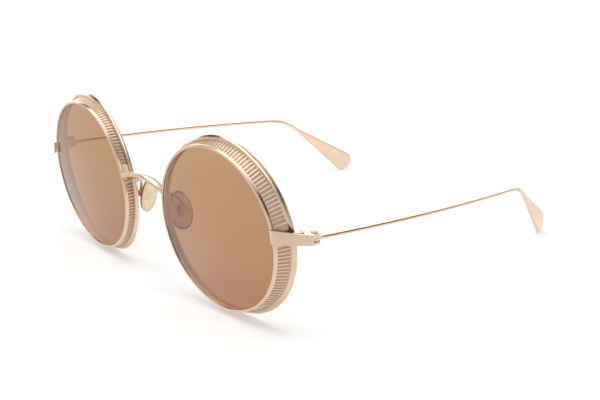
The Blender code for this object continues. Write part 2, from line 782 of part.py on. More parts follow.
def make_closing_block(name, side, root):
    """The block behind the plate that closes the rim, with its screw hole."""
    plan, place = closing_plan()
    outline = [(x * side, y) for x, y in plan]
    piece = solid(name, prism(outline, end_bottom, end_top), root, PALE_GOLD)
    soften(piece, END_BEVEL)
    top = end_top(place[1])
    bottom = end_bottom(place[1])
    centre = Vector((place[0] * side, place[1], 0.0))
    recess = cylinder(
        centre + Vector((0, 0, top - CLOSING_RECESS)),
        centre + Vector((0, 0, top + CUT_MARGIN)),
        CLOSING_HEAD_RADIUS + HINGE_CLEARANCE,
    )
    bore = cylinder(
        centre + Vector((0, 0, bottom - CUT_MARGIN)),
        centre + Vector((0, 0, top)),
        CLOSING_SHANK_RADIUS + HINGE_CLEARANCE,
    )
    combine(piece, solid("screw_recess_" + name, recess, root), "DIFFERENCE")
    combine(piece, solid("screw_bore_" + name, bore, root), "DIFFERENCE")


def make_closing_screw(name, side, root):
    """The small screw sunk in the closing block."""
    place = closing_plan()[1]
    seat = end_top(place[1]) - CLOSING_RECESS + HINGE_CLEARANCE
    stops = [
        (end_bottom(place[1]) + SEAM, CLOSING_SHANK_RADIUS),
        (seat, CLOSING_SHANK_RADIUS),
        (seat, CLOSING_HEAD_RADIUS),
        (seat + CLOSING_HEAD_HEIGHT, CLOSING_HEAD_RADIUS),
    ]
    up = Vector((0, 0, 1))
    where = Vector((place[0] * side, place[1], 0.0))
    screw = solid(name, stepped_pin(up, stops, SMALL_SCREW_SEGMENTS), root, SCREW_STEEL, where)
    head = where + up * (seat + CLOSING_HEAD_HEIGHT)
    slotted(screw, "slot_" + name, head, Vector((1, 0, 0)), up, root)


def rod_point(share):
    """Centre of the left temple rod from the hinge (0) to the ear bend (1), about the hinge."""
    swell = 4 * share * (1 - share)
    return Vector(
        (
            -ROD_INSET * share + ROD_BOW * swell,
            ROD_LENGTH * share,
            -ROD_DROP * share + ROD_LIFT * swell,
        )
    )


def rod_direction(share):
    """Unit direction of the rod at that place."""
    return (rod_point(share + ROD_STEP) - rod_point(share - ROD_STEP)).normalized()


def paddle_direction():
    """Unit direction of the flat paddle."""
    level = cos(PADDLE_FALL)
    return Vector(
        (-level * sin(PADDLE_INWARD), level * cos(PADDLE_INWARD), -sin(PADDLE_FALL))
    )


def temple_sections():
    """Sections of the left temple: rod, ear bend, flat paddle and its round end."""
    stations = []
    first = TONGUE_REACH / ROD_LENGTH
    for i in range(ROD_STATIONS + 1):
        share = first + (EAR_SHARE - first) * i / ROD_STATIONS
        stations.append((rod_point(share), rod_direction(share), ROD_RADIUS, ROD_RADIUS, ROUND))
    start = rod_point(EAR_SHARE)
    end = rod_point(1.0) + PADDLE_START
    pull = (end - start).length * EAR_STIFFNESS
    start_way = rod_direction(EAR_SHARE)
    end_way = paddle_direction()
    for i in range(1, EAR_STATIONS):
        t = i / EAR_STATIONS
        place = start * (2 * t**3 - 3 * t**2 + 1) + end * (3 * t**2 - 2 * t**3)
        place += start_way * pull * (t**3 - 2 * t**2 + t) + end_way * pull * (t**3 - t**2)
        way = start * (6 * t**2 - 6 * t) + end * (6 * t - 6 * t**2)
        way += start_way * pull * (3 * t**2 - 4 * t + 1) + end_way * pull * (3 * t**2 - 2 * t)
        flat = t**2
        wide = ROD_RADIUS + (PADDLE_START_WIDTH / 2 - ROD_RADIUS) * flat
        thin = ROD_RADIUS + (PADDLE_THICKNESS / 2 - ROD_RADIUS) * flat
        power = ROUND + (PADDLE_SQUARENESS - ROUND) * flat
        stations.append((place, way.normalized(), wide, thin, power))
    for i in range(PADDLE_STATIONS + 1):
        share = i / PADDLE_STATIONS
        wide = PADDLE_START_WIDTH + (PADDLE_WIDTH - PADDLE_START_WIDTH) * share
        place = end + end_way * PADDLE_LENGTH * share
        stations.append((place, end_way, wide / 2, PADDLE_THICKNESS / 2, PADDLE_SQUARENESS))
    for i in range(1, PADDLE_END_STATIONS + 1):
        turn = PADDLE_END_TURN * i / PADDLE_END_STATIONS
        place = end + end_way * (PADDLE_LENGTH + PADDLE_END_LENGTH * sin(turn))
        wide = PADDLE_WIDTH / 2 * cos(turn)
        stations.append((place, end_way, wide, PADDLE_THICKNESS / 2, PADDLE_SQUARENESS))
    return stations


def make_temple(name, side, pivot):
    """The rod and its paddle in one piece."""
    sections = []
    for place, way, wide, thin, power in temple_sections():
        upright = (Vector((0, 0, 1)) - way * way.z).normalized()
        across = way.cross(upright)
        ring = oval(place, upright, across, wide, thin, power, ROD_SEGMENTS)
        sections.append([mirrored(point, side) for point in ring])
    return solid(name, loft(sections), pivot, ROSE_GOLD)


def make_tongue(name, side, pivot):
    """The flat eye at the front of the temple, which turns in the hinge block's slot."""
    way = rod_direction(0.0)
    flat_way = Vector((way.x, way.y)).normalized()
    across = Vector((flat_way.y, -flat_way.x))
    half_width = ROD_RADIUS
    reach = TONGUE_REACH - SEAM
    outline = []
    start = atan(half_width / sqrt(TONGUE_RADIUS**2 - half_width**2))
    for i in range(TONGUE_ARC + 1):
        turn = start + (2 * pi - 2 * start) * i / TONGUE_ARC
        spot = flat_way * TONGUE_RADIUS * cos(turn) + across * TONGUE_RADIUS * sin(turn)
        outline.append((spot.x * side, spot.y))
    for sign in (-1, 1):
        spot = flat_way * reach + across * half_width * sign
        outline.append((spot.x * side, spot.y))
    half = TONGUE_THICKNESS / 2
    tongue = solid(
        name,
        prism(outline, lambda y: -half, lambda y: half),
        pivot,
        PALE_GOLD,
    )
    up = Vector((0, 0, 1))
    reach = up * TONGUE_THICKNESS
    bore = cylinder(-reach, reach, HINGE_PIN_RADIUS + HINGE_CLEARANCE)
    combine(tongue, solid("eye_bore_" + name, bore, pivot), "DIFFERENCE")


def pad_axes(side):
    """Upward, rearward and nose-facing unit vectors of a nose pad."""
    up = mirrored(PAD_UP, side)
    rearward = mirrored((PAD_REARWARD - PAD_UP * PAD_REARWARD.dot(PAD_UP)).normalized(), side)
    face = up.cross(rearward) * side
    return up, rearward, face.normalized()


def pad_pivot(side):
    """Where the pad's screw crosses its lug."""
    return mirrored(rear_edge(180.0) + PAD_FROM_RIM, side) - pad_axes(side)[2] * LUG_REACH


def make_pad(name, side, pivot):
    """The soft oval pad."""
    up, rearward, face = pad_axes(side)
    sections = []
    for share, scale in PAD_SECTIONS:
        level = share * (PAD_FACE if share > 0 else PAD_BACK)
        ring = []
        for i in range(PAD_SEGMENTS):
            turn = 2 * pi * i / PAD_SEGMENTS
            lengthways = PAD_HALF_LENGTH * scale * cos(turn)
            width = PAD_HALF_WIDTH * (1 - PAD_EGG * cos(turn))
            crossways = width * scale * sin(turn)
            point = up * lengthways + rearward * crossways + face * (LUG_REACH + level)
            ring.append(point)
        sections.append(ring)
    return solid(name, loft(sections), pivot, PAD_CREAM)


def make_lug(name, side, pivot):
    """The metal plate behind the pad and the eye that the box holds."""
    up, rearward, face = pad_axes(side)
    plate_front = LUG_REACH - PAD_BACK - SEAM
    plate_back = plate_front - LUG_PLATE_THICKNESS
    outline = []
    for i in range(LUG_EYE_ARC + 1):
        turn = pi / 2 + pi * i / LUG_EYE_ARC
        outline.append((LUG_EYE_RADIUS * cos(turn), LUG_EYE_RADIUS * sin(turn)))
    outline.append(((plate_front + plate_back) / 2, -LUG_EYE_RADIUS))
    outline.append(((plate_front + plate_back) / 2, LUG_EYE_RADIUS))
    sides = []
    for sign in (-1, 1):
        shift = rearward * LUG_TAB_HALF_WIDTH * sign
        sides.append([face * a + up * b + shift for a, b in outline])
    lug = solid(name, loft(sides), pivot, PALE_GOLD)
    plate = block(
        face * (plate_front + plate_back) / 2,
        (up, rearward, face),
        (LUG_PLATE_HALF_LENGTH, LUG_PLATE_HALF_WIDTH, LUG_PLATE_THICKNESS / 2),
    )
    combine(lug, solid("plate_" + name, plate, pivot), "UNION")
    reach = rearward * box_half_width()
    bore = cylinder(-reach, reach, PAD_PIN_RADIUS + PAD_PIN_CLEARANCE)
    combine(lug, solid("eye_" + name, bore, pivot), "DIFFERENCE")


def box_half_width():
    """Half the outer width of a pad box."""
    return LUG_TAB_HALF_WIDTH + TONGUE_CLEARANCE + BOX_EAR


def box_back():
    """Distance from the pad's pivot to the back of its box."""
    return LUG_EYE_RADIUS + 2 * TONGUE_CLEARANCE + BOX_BACK_WALL


def make_box(name, side, root):
    """The U-shaped clip that straddles the lug."""
    up, rearward, face = pad_axes(side)
    outer = box_half_width()
    inner = outer - BOX_EAR
    back = -box_back()
    wall = back + BOX_BACK_WALL
    outline = [
        (-outer, BOX_FRONT),
        (-outer, back),
        (outer, back),
        (outer, BOX_FRONT),
        (inner, BOX_FRONT),
        (inner, wall),
        (-inner, wall),
        (-inner, BOX_FRONT),
    ]
    ends = []
    for sign in (-1, 1):
        shift = up * BOX_HALF_HEIGHT * sign
        ends.append([rearward * a + face * b + shift for a, b in outline])
    place = pad_pivot(side)
    piece = solid(name, loft(ends), root, PALE_GOLD, place)
    reach = rearward * (outer + CUT_MARGIN)
    bore = cylinder(-reach, reach, PAD_PIN_RADIUS + PAD_PIN_CLEARANCE)
    combine(piece, solid("pin_bore_" + name, bore, root, None, place), "DIFFERENCE")


def make_pad_screw(name, side, root):
    """The screw that the pad rocks on, with its head behind the box."""
    rearward = pad_axes(side)[1]
    outer = box_half_width()
    stops = [
        (-outer + SEAM, PAD_PIN_RADIUS),
        (outer + SEAM / 2, PAD_PIN_RADIUS),
        (outer + SEAM / 2, PAD_HEAD_RADIUS),
        (outer + SEAM / 2 + PAD_HEAD_HEIGHT, PAD_HEAD_RADIUS),
    ]
    place = pad_pivot(side)
    pin = stepped_pin(rearward, stops, SMALL_SCREW_SEGMENTS)
    screw = solid(name, pin, root, SCREW_STEEL, place)
    head = place + rearward * (outer + SEAM / 2 + PAD_HEAD_HEIGHT)
    slotted(screw, "slot_" + name, head, pad_axes(side)[0], rearward, root)


def arm_stations(side):
    """Centre, direction, section axes and half sizes along a pad arm, from foot to box."""
    radius = REAR_RIM_RADIUS + ARM_FOOT_SEAM + ARM_FOOT_THICKNESS / 2
    depth = REAR_DEPTH + REAR_RIM_THICKNESS / 2
    start = 180.0 + degrees(asin(ARM_FOOT_FALL / REAR_RIM_RADIUS))
    end = 180.0 - degrees(asin(ARM_FOOT_RISE / REAR_RIM_RADIUS))
    places = []
    for i in range(ARM_FOOT_STATIONS + 1):
        angle = start + (end - start) * i / ARM_FOOT_STATIONS
        places.append(rim_point(angle, radius, depth, REAR_OFFSET, REAR_DEPTH_SWING))
    up, rearward, face = pad_axes(1)
    first = places[-1]
    last = pad_pivot(1) + up * (BOX_HALF_HEIGHT + SEAM) - face * (box_back() - BOX_BACK_WALL)
    lift = first + ARM_RISE
    fall = last + up * ARM_FALL_HEIGHT + ARM_FALL
    for i in range(1, ARM_STATIONS + 1):
        t = i / ARM_STATIONS
        s = 1 - t
        places.append(first * s**3 + lift * 3 * s * s * t + fall * 3 * s * t * t + last * t**3)
    stations = []
    count = len(places)
    for i, place in enumerate(places):
        way = places[min(i + 1, count - 1)] - places[max(i - 1, 0)]
        wire = min(1.0, max(0.0, (i - ARM_FOOT_STATIONS + 1) / ARM_ROUNDING_STATIONS))
        taper = min(1.0, ARM_TIP_SHARE + (1 - ARM_TIP_SHARE) * i / ARM_TIP_STATIONS)
        thick = ARM_FOOT_THICKNESS / 2 + (ARM_RADIUS - ARM_FOOT_THICKNESS / 2) * wire
        wide = ARM_FOOT_WIDTH / 2 * taper + (ARM_RADIUS - ARM_FOOT_WIDTH / 2 * taper) * wire
        guide = Vector((1.0, -wire, 0.0)).normalized()
        stations.append((place, way.normalized(), guide, thick, wide))
    return stations


def make_arm(name, side, root):
    """The pad arm: a flat foot on the rear rim that becomes a wire down to the box."""
    sections = []
    for place, way, guide, thick, wide in arm_stations(side):
        radial = (guide - way * guide.dot(way)).normalized()
        other = way.cross(radial)
        ring = oval(place, radial, other, thick, wide, ROUND, ARM_SEGMENTS)
        sections.append([mirrored(point, side) for point in ring])
    return solid(name, loft(sections), root, ROSE_GOLD)


def settle(root):
    """Move the whole object so that the origin is under its middle, on the table."""
    bpy.context.view_layer.update()
    graph = bpy.context.evaluated_depsgraph_get()
    points = []
    for item in bpy.data.objects:
        if item.type != "MESH" or item.hide_render:
            continue
        evaluated = item.evaluated_get(graph)
        mesh = evaluated.to_mesh()
        points += [evaluated.matrix_world @ vertex.co for vertex in mesh.vertices]
        evaluated.to_mesh_clear()
    low = Vector([min(point[i] for point in points) for i in range(3)])
    high = Vector([max(point[i] for point in points) for i in range(3)])
    root.location = (-(low.x + high.x) / 2, -(low.y + high.y) / 2, -low.z)


def main():
    """Build the sunglasses."""
    clear_scene()
    root = empty("sunglasses", (0.0, 0.0, 0.0))
    frames = {}
    for label, side in SIDES:
        frames[label] = empty(
            "lens_axis_" + label,
            (side * HALF_LENS_SPACING, 0.0, 0.0),
            root,
            (pi / 2 + FRONT_TILT, 0.0, side * WRAP),
        )
    for label, side in SIDES:
        frame = frames[label]
        make_front_rim("front_rim_" + label, frame)
        make_band("fluted_band_" + label, side, frame)
        make_rear_rim("rear_rim_" + label, side, frame)
        make_lens("lens_" + label, frame)
        make_end_piece("end_piece_" + label, side, root)
        make_closing_block("closing_block_" + label, side, root)
        make_closing_screw("closing_screw_" + label, side, root)
        make_hinge_screw("hinge_screw_" + label, side, root)
        make_arm("pad_arm_" + label, side, root)
        make_box("pad_box_" + label, side, root)
        make_pad_screw("pad_screw_" + label, side, root)
        rocker = empty("pad_pivot_" + label, pad_pivot(side), root)
        make_pad("nose_pad_" + label, side, rocker)
        make_lug("pad_lug_" + label, side, rocker)
        swing = empty("temple_pivot_" + label, hinge_place(side), root)
        make_tongue("temple_tongue_" + label, side, swing)
        make_temple("temple_" + label, side, swing)
    make_bridge(root, frames)
    settle(root)


main()
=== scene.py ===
"""Round metal sunglasses with fluted rims: fine meshes, finishes and a pale studio."""

import json
from functools import partial
from math import asin, atan, ceil, cos, degrees, floor, pi, radians, sin, sqrt

import bmesh
import bpy
import numpy as np
from mathutils import Matrix, Vector


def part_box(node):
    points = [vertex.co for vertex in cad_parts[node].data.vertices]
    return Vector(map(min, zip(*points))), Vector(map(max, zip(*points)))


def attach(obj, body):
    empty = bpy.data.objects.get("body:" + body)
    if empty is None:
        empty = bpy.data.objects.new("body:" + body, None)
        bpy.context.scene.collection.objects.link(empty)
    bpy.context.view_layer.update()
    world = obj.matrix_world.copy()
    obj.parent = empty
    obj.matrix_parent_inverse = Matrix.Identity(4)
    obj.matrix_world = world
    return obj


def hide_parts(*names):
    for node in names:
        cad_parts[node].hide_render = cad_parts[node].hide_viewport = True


bl_info = {
    "name": "Round fluted sunglasses",
    "version": (1, 0, 0),
    "blender": (4, 5, 0),
    "location": "3D View > Sidebar > Sunglasses",
    "description": "Builds the fine meshes, finishes and studio of round metal sunglasses",
    "category": "Add Mesh",
}

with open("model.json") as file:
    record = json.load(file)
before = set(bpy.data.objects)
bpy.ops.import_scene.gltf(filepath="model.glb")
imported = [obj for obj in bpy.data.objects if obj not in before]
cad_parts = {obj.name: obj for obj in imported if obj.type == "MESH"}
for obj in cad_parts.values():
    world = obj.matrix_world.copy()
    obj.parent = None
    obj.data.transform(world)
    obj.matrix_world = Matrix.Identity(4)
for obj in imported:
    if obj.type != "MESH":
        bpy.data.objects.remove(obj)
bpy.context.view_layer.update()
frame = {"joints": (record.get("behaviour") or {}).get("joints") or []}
JOINTS = {joint["name"]: joint for joint in frame["joints"]}

MM = 0.001
UP = Vector((0.0, 0.0, 1.0))
CREASE = 32.0
SIDES = (("left", 1), ("right", -1))


def mm(*sizes):
    """Sizes in millimetres as metres."""
    return tuple(size * MM for size in sizes)


# How the two fronts stand
NOSE_GAP_HALF = 11.0 * MM
WRAP = radians(3.66)
FRONT_TILT = radians(4.71)

# Front rim and lens, with depths running back along the lens axis
RIM_FACE = -0.42 * MM
RIM_BACK = RIM_FACE + 1.14 * MM
GROOVE_DEPTH = 0.35 * MM
GROOVE_HALF = 0.32 * MM
GROOVE_CENTRE = RIM_FACE + 0.62 * MM
LENS_CLEARANCE = 0.10 * MM
LENS_CURVE = 142.0 * MM
LENS_RINGS = 24
TOUCH = 0.02 * MM
SOLDER_BITE = 0.03 * MM

# Fluted band and rear rim
BAND_STEP = 0.3 * MM
BAND_FLARE = 1.06 * MM
BAND_WALL_FRONT = 0.42 * MM
BAND_WALL_REAR = 0.8 * MM
PLAIN_LIFT = 0.12 * MM
PLAIN_SECTORS = ((159.0, 173.0), (2.0, 16.0))
FLUTE_FAN = 1.45 * MM
REAR_DEPTH = 3.75 * MM
REAR_BACK = REAR_DEPTH + 0.8 * MM
REAR_MIDDLE = REAR_DEPTH + 0.4 * MM
REAR_SWING = 0.98 * MM
REAR_OFFSET = 0.79 * MM
REAR_LIP = 1.44 * MM
REAR_TRIM = 0.045 * MM
REAR_BACKING = 0.96 * MM
DOME_START = 0.2 * MM
DOME_TURNS = np.linspace(radians(18), radians(56), 17)
BEAD_HEIGHT = 0.12 * MM
BEAD_INSIDE = 0.14 * MM

# Bridge bar
BRIDGE_PROUD = 0.94 * MM
BRIDGE_SHORT = 0.28 * MM
BRIDGE_FRONT_HEIGHT = 9.35 * MM
BRIDGE_REAR_HEIGHT = 7.75 * MM
BRIDGE_FRONT_SAG = 1.8 * MM
BRIDGE_REAR_SAG = 2.1 * MM
BRIDGE_FRONT_CURL = 0.68 * MM
BRIDGE_REAR_CURL = 1.02 * MM
BRIDGE_HALF_LENGTH = NOSE_GAP_HALF + 2.4 * MM
BRIDGE_HALF_WAVE = NOSE_GAP_HALF + 1.5 * MM
BRIDGE_CORNERS = mm(0.2, 0.6, 2.0, 0.4, 0.2, 0.6)
BRIDGE_CUT_DEPTH = 3.4 * MM
BRIDGE_CUT_AHEAD = 3.0 * MM
BRIDGE_STATIONS = 91
CUT_STEPS = 240
GUSSET_START = NOSE_GAP_HALF - 4.0 * MM
GUSSET_DROP = 3.6 * MM
GUSSET_FRONT_SHARE = 0.25

# End piece and hinge
END_FRONT_HEIGHT = 4.58 * MM
END_FRONT_HALF = 2.08 * MM
END_REAR_HEIGHT = 3.78 * MM
END_REAR_HALF = 1.62 * MM
END_LIP_ANGLE = 14.0
END_LIP_LENGTH = 1.2 * MM
END_LIP_THICKNESS = 0.42 * MM
END_LIP_SLANT = 0.5 * MM
END_CORNER_REACH = 1.2 * MM
END_PLATE = 0.7 * MM
END_BEND_OUT = 0.55 * MM
END_BEND_AHEAD = 1.25 * MM
END_SIDE_BACK = 0.45 * MM
END_CORNERS = mm(0.0, 0.12, 0.8, 0.2, 0.3, 0.0)
HINGE_OUTSET = 3.38 * MM
HINGE_SETBACK = 3.46 * MM
HINGE_HEIGHT = 3.6 * MM
BLOCK_RADIUS = 1.7 * MM
BLOCK_LENGTH = 2.6 * MM
PIN_RADIUS = 0.6 * MM
PIN_CLEARANCE = 0.06 * MM
HINGE_HOLE = PIN_RADIUS + PIN_CLEARANCE
TONGUE_THICKNESS = 1.15 * MM
TONGUE_CLEARANCE = 0.1 * MM
TONGUE_RADIUS = BLOCK_RADIUS - 0.2 * MM
TONGUE_REACH = BLOCK_RADIUS + 0.9 * MM
SEAM = 0.15 * MM

# Closing block and its screw
CLOSING_GAP = 0.95 * MM
CLOSING_DEPTH = 3.4 * MM
CLOSING_OVERLAP = 1.0 * MM
CLOSING_SCREW_LEAD = 0.15 * MM
CLOSING_HEAD = 0.55 * MM
CLOSING_HEAD_HEIGHT = 0.32 * MM
CLOSING_SHANK = 0.35 * MM
CLOSING_RECESS = 0.5 * MM
CLOSING_LEAD = 0.08 * MM

# Temple rod, ear bend and paddle
ROD_LENGTH = 94.8 * MM
ROD_INSET = 5.3 * MM
ROD_DROP = 6.4 * MM
ROD_BOW = 2.74 * MM
ROD_LIFT = 0.19 * MM
ROD_BITE = 0.0015
EAR_SHARE = 0.93
EAR_STIFFNESS = 1.3
PADDLE_START = Vector((-2.65, 8.95, -4.94)) * MM
PADDLE_FALL = radians(37.2)
PADDLE_INWARD = radians(20.1)
PADDLE_LENGTH = 27.0 * MM
PADDLE_START_HALF = 0.6 * MM
PADDLE_END_LENGTH = 3.55 * MM
PADDLE_END_TURN = radians(86)

# Nose pad, lug, box and arm
PAD_FROM_RIM = Vector((0.72, 4.77, -2.27)) * MM
PAD_UP = Vector((-0.238, -0.048, 0.970)).normalized()
PAD_REARWARD = Vector((0.240, 0.965, 0.107)).normalized()
PAD_BACK = 0.8 * MM
PAD_FACE = 1.0 * MM
PAD_EGG = 0.08
# Shares of the pad's outline and of its back's depth, from the middle of the back to the side
PAD_BACK_EDGE = ((0.02, 1), (0.5, 1), (0.84, 1), (0.9, 0.97), (0.945, 0.82), (0.975, 0.6))
PAD_BACK_EDGE += ((0.992, 0.32), (1.0, 0.0))
PAD_HEAD_HEIGHT = 0.36 * MM
PAD_HEAD_OVERHANG = 0.27 * MM
LUG_PLATE = 0.45 * MM
LUG_PLATE_HALVES = mm(2.2, 1.5)
LUG_TAB_HALF = 0.8 * MM
PAD_PIN = 0.45 * MM
PAD_HOLE = PAD_PIN + 0.05 * MM
BOX_EAR = 0.6 * MM
BOX_INNER = LUG_TAB_HALF + TONGUE_CLEARANCE
BOX_OUTER = BOX_INNER + BOX_EAR
BOX_HALF_HEIGHT = 1.15 * MM
BOX_FRONT = 0.6 * MM
BOX_WALL = 0.5 * MM
BOX_CORNERS = mm(0.3, 0.42, 0.42, 0.3, 0.1, 0.2, 0.2, 0.1)
LUG_REACH = BOX_FRONT + 0.45 * MM + LUG_PLATE + SEAM + PAD_BACK
LUG_EYE = PAD_HOLE + 0.5 * MM
BOX_BACK = -(LUG_EYE + 2 * TONGUE_CLEARANCE + BOX_WALL)
BOX_FLOOR = BOX_BACK + BOX_WALL
ARM_RADIUS = 0.45 * MM
ARM_FOOT_HALF_THICKNESS = 0.3 * MM
ARM_FOOT_HALF_WIDTH = 0.55 * MM
ARM_FOOT_SEAM = 0.05 * MM
ARM_FOOT_FALL = 2.98 * MM
ARM_FOOT_RISE = 3.18 * MM
ARM_RISE = Vector((0.1, 1.7, 1.9)) * MM
ARM_FALL = Vector((-0.3, 0.2, 0.0)) * MM
ARM_FALL_HEIGHT = 4.2 * MM
# Rough lengths in millimetres, along which the foot turns into round wire
ARM_FOOT_RUN = 5
ARM_WIRE_RUN = 9
ARM_TURNING = (4, 4)

# The satin tone inside the bands and rear rims, and how it sets in below the band
SATIN = (0.8, 0.62, 0.5)
SATIN_DEPTH = 0.3 * MM
SATIN_EDGE = 0.1 * MM

# Where the photograph was taken from
CAMERA_PLACE = Vector((280.70, -239.77, 134.65)) * MM
CAMERA_AZIMUTH = 0.8710
CAMERA_ELEVATION = 0.3170
CAMERA_ROLL = -0.0063
CAMERA_LENS = 63.46

# What the metal mirrors: a direction, then places and tones of its ramp. A place is 0 where a
# ray points straight away from the direction, and 1 where it points straight at it.
SKY_BASE = ((-0.72, 0.55, 0.42), (0.6, 0.22), (0.9, 0.9))
SKY_GLOWS = (
    ((-0.35, -0.76, 0.54), (0.7, 0.22), (0.9, 0.29)),
    ((0.95, 0.27, 0.17), (0.955, 0.21), (0.985, 0.6)),
    ((0.05, -0.15, 0.99), (0.955, 0.0), (0.98, 0.9)),
)
# Bright strips, each where two ramps meet
SKY_STRIPS = (
    (
        ((0.73, 0.17, 0.66), (0.41, 0.0), (0.455, 1.0), (0.56, 1.0), (0.6, 0.0)),
        ((-0.35, -0.76, 0.54), (0.87, 0.0), (0.93, 1.0)),
    ),
    (
        ((0.4, 0.92, 0.0), (0.43, 0.0), (0.445, 0.7), (0.555, 0.7), (0.57, 0.0)),
        ((0.0, 0.0, 1.0), (0.84, 1.0), (0.9, 0.0)),
    ),
)
SKY_SHADES = (
    ((-0.81, -0.38, 0.45), (0.9825, 1.0), (0.9925, 0.06)),
    ((-0.77, 0.31, 0.56), (0.983, 1.0), (0.991, 0.03)),
    ((-0.74, 0.67, 0.05), (0.993, 1.0), (0.997, 0.35)),
    ((0.51, -0.79, 0.34), (0.975, 1.0), (0.99, 0.4), (0.997, 0.08)),
    ((0.74, 0.67, 0.09), (0.93, 1.0), (0.965, 0.5)),
    ((0.6, 0.62, 0.51), (0.9775, 1.0), (0.99, 0.07)),
    ((0.0, 0.0, 1.0), (0.5, 0.45), (0.53, 0.7), (0.56, 1.0)),
)
WHITE = (1.0, 1.0, 1.0)
BLACK = (0.0, 0.0, 0.0)


def number(name, description, default, low=0.0, **more):
    """A plain number, or one with a unit."""
    return bpy.props.FloatProperty(
        name=name, description=description, default=default, min=low, **more
    )


def length(name, description, default):
    """A length that the sidebar shows in the scene's units."""
    return number(name, description, default, precision=5, unit="LENGTH")


def share(name, description, default):
    """A number from none to all."""
    return number(name, description, default, max=1.0, subtype="FACTOR")


def colour(name, description, default):
    """A linear colour."""
    return bpy.props.FloatVectorProperty(
        name=name, description=description, default=default, min=0.0, max=1.0, subtype="COLOR"
    )


def count(name, description, default):
    """A whole number."""
    return bpy.props.IntProperty(name=name, description=description, default=default, min=3)


class RimSizes(bpy.types.PropertyGroup):
    """Rims, fluting and lenses."""

    opening: length("Lens opening", "Radius of the hole that the lens fills", 25.5 * MM)
    wall: length("Rim wall", "Thickness of the front rim round the lens", 0.8 * MM)
    front_round: length("Front edge rounding", "Rounding of the front rim's edge", 0.42 * MM)
    rear_round: length("Rear edge rounding", "Rounding of the rear rim's edges", 0.22 * MM)
    rear_dome: length("Rear rim dome", "How far the rear rim's front curls back", 0.7 * MM)
    flutes: count("Flutes", "How many flutes run round one rim", 140)
    flute_depth: length("Flute depth", "How far the panels lie below the ridges", 0.24 * MM)
    crest: length("Crest", "How far a ridge falls from its middle to its edges", 0.04 * MM)
    ridge: share("Ridge share", "Half width of a ridge as a share of the flute pitch", 0.16)
    slope: share("Ridge slope", "Width of a ridge's side as a share of the flute pitch", 0.08)
    border: share("Flute border", "Plain strip at a flute's ends, as a share of the band", 0.05)
    steps: count("Steps", "Segments round a plain rim", 288)
    lens_thickness: length("Lens thickness", "Thickness of the tinted lens", 1.8 * MM)


class MetalworkSizes(bpy.types.PropertyGroup):
    """Bridge, end pieces and screws."""

    bridge_thickness: length("Bridge thickness", "Thickness of the arched bar", 1.3 * MM)
    bridge_crown: length("Bridge crown", "How far the bar's top swells", 0.3 * MM)
    edge: length("Edge bevel", "Bevel on the end pieces and blocks", 0.14 * MM)
    fine_edge: length("Fine bevel", "Bevel on the small clips and eyes", 0.07 * MM)
    head_radius: length("Hinge screw head", "Radius of the hinge screw's head", 1.05 * MM)
    head_height: length("Head height", "Height of the hinge screw's head", 0.28 * MM)
    slot_width: length("Slot width", "Width of the driver slots", 0.26 * MM)
    slot_depth: length("Slot depth", "Depth of the driver slots", 0.18 * MM)


class TempleSizes(bpy.types.PropertyGroup):
    """Temples."""

    rod: length("Rod radius", "Radius of the thin round rod", 0.65 * MM)
    paddle_width: length("Paddle width", "Width of the flat end", 8.16 * MM)
    paddle_thickness: length("Paddle thickness", "Thickness of the flat end", 1.1 * MM)
    squareness: number("Squareness", "Superellipse power of the paddle's section", 6.0, 2.0)


class PadSizes(bpy.types.PropertyGroup):
    """Nose pads."""

    half_length: length("Half length", "Half the height of a pad", 6.4 * MM)
    half_width: length("Half width", "Half the width of a pad", 3.7 * MM)
    crown: number("Crown", "Superellipse power of a pad's face, lower is rounder", 3.6, 2.0)


class Finishes(bpy.types.PropertyGroup):
    """Colours and polish."""

    rose_gold: colour("Rose gold", "Rims, bridge and temples", (0.77, 0.56, 0.41))
    champagne: colour("Champagne", "Second tone of the plating", (0.8, 0.61, 0.46))
    screw_gold: colour("Screw gold", "Screws, a little darker", (0.64, 0.5, 0.4))
    lens_top: colour("Lens top", "Tint at the top of the lens", (0.484, 0.271, 0.128))
    lens_bottom: colour("Lens bottom", "Tint at the foot of the lens", (0.36, 0.155, 0.06))
    lens_blush: colour("Lens blush", "Pink tone in the tint", (0.45, 0.235, 0.12))
    pad_cream: colour("Pad cream", "Nose pads", (0.97, 0.85, 0.6))
    pad_shade: colour("Pad shade", "Deeper tone in the nose pads", (0.93, 0.79, 0.54))
    # Painted shade: the dark colour laid on the pads' narrow sides
    pad_side_shade: colour("Pad side", "The narrow sides of the nose pads", (0.2, 0.11, 0.04))
    polish: share("Polish", "Least roughness of the plating", 0.13)
    handling: share("Handling marks", "How much the roughness wanders", 0.1)


class StudioSettings(bpy.types.PropertyGroup):
    """Floor, sky and lamps."""

    floor: colour("Floor", "Colour of the table", (0.8, 0.8, 0.8))
    floor_glow: number("Floor glow", "What the floor adds for the camera", 0.36)
    sky: number("Sky", "Strength of the light from all round", 0.5)
    panels: number("Panels", "Strength of the panels that the metal mirrors", 2.3)
    key: number("Key lamp", "Power of the overhead lamp", 6.0, unit="POWER")
    fill: number("Fill lamp", "Power of the side lamp", 2.0, unit="POWER")


GROUPS = {
    "sunglasses_rims": RimSizes,
    "sunglasses_metalwork": MetalworkSizes,
    "sunglasses_temples": TempleSizes,
    "sunglasses_pads": PadSizes,
    "sunglasses_finishes": Finishes,
    "sunglasses_studio": StudioSettings,
}


def chosen(group):
    """One group of the sidebar's values."""
    return getattr(bpy.context.scene, "sunglasses_" + group)


def eased(value):
    """A share from 0 to 1 with soft ends; a number, an array or a wire."""
    return value * value * (3.0 - 2.0 * value)


def held(value):
    """A number kept between 0 and 1."""
    return min(1.0, max(0.0, value))


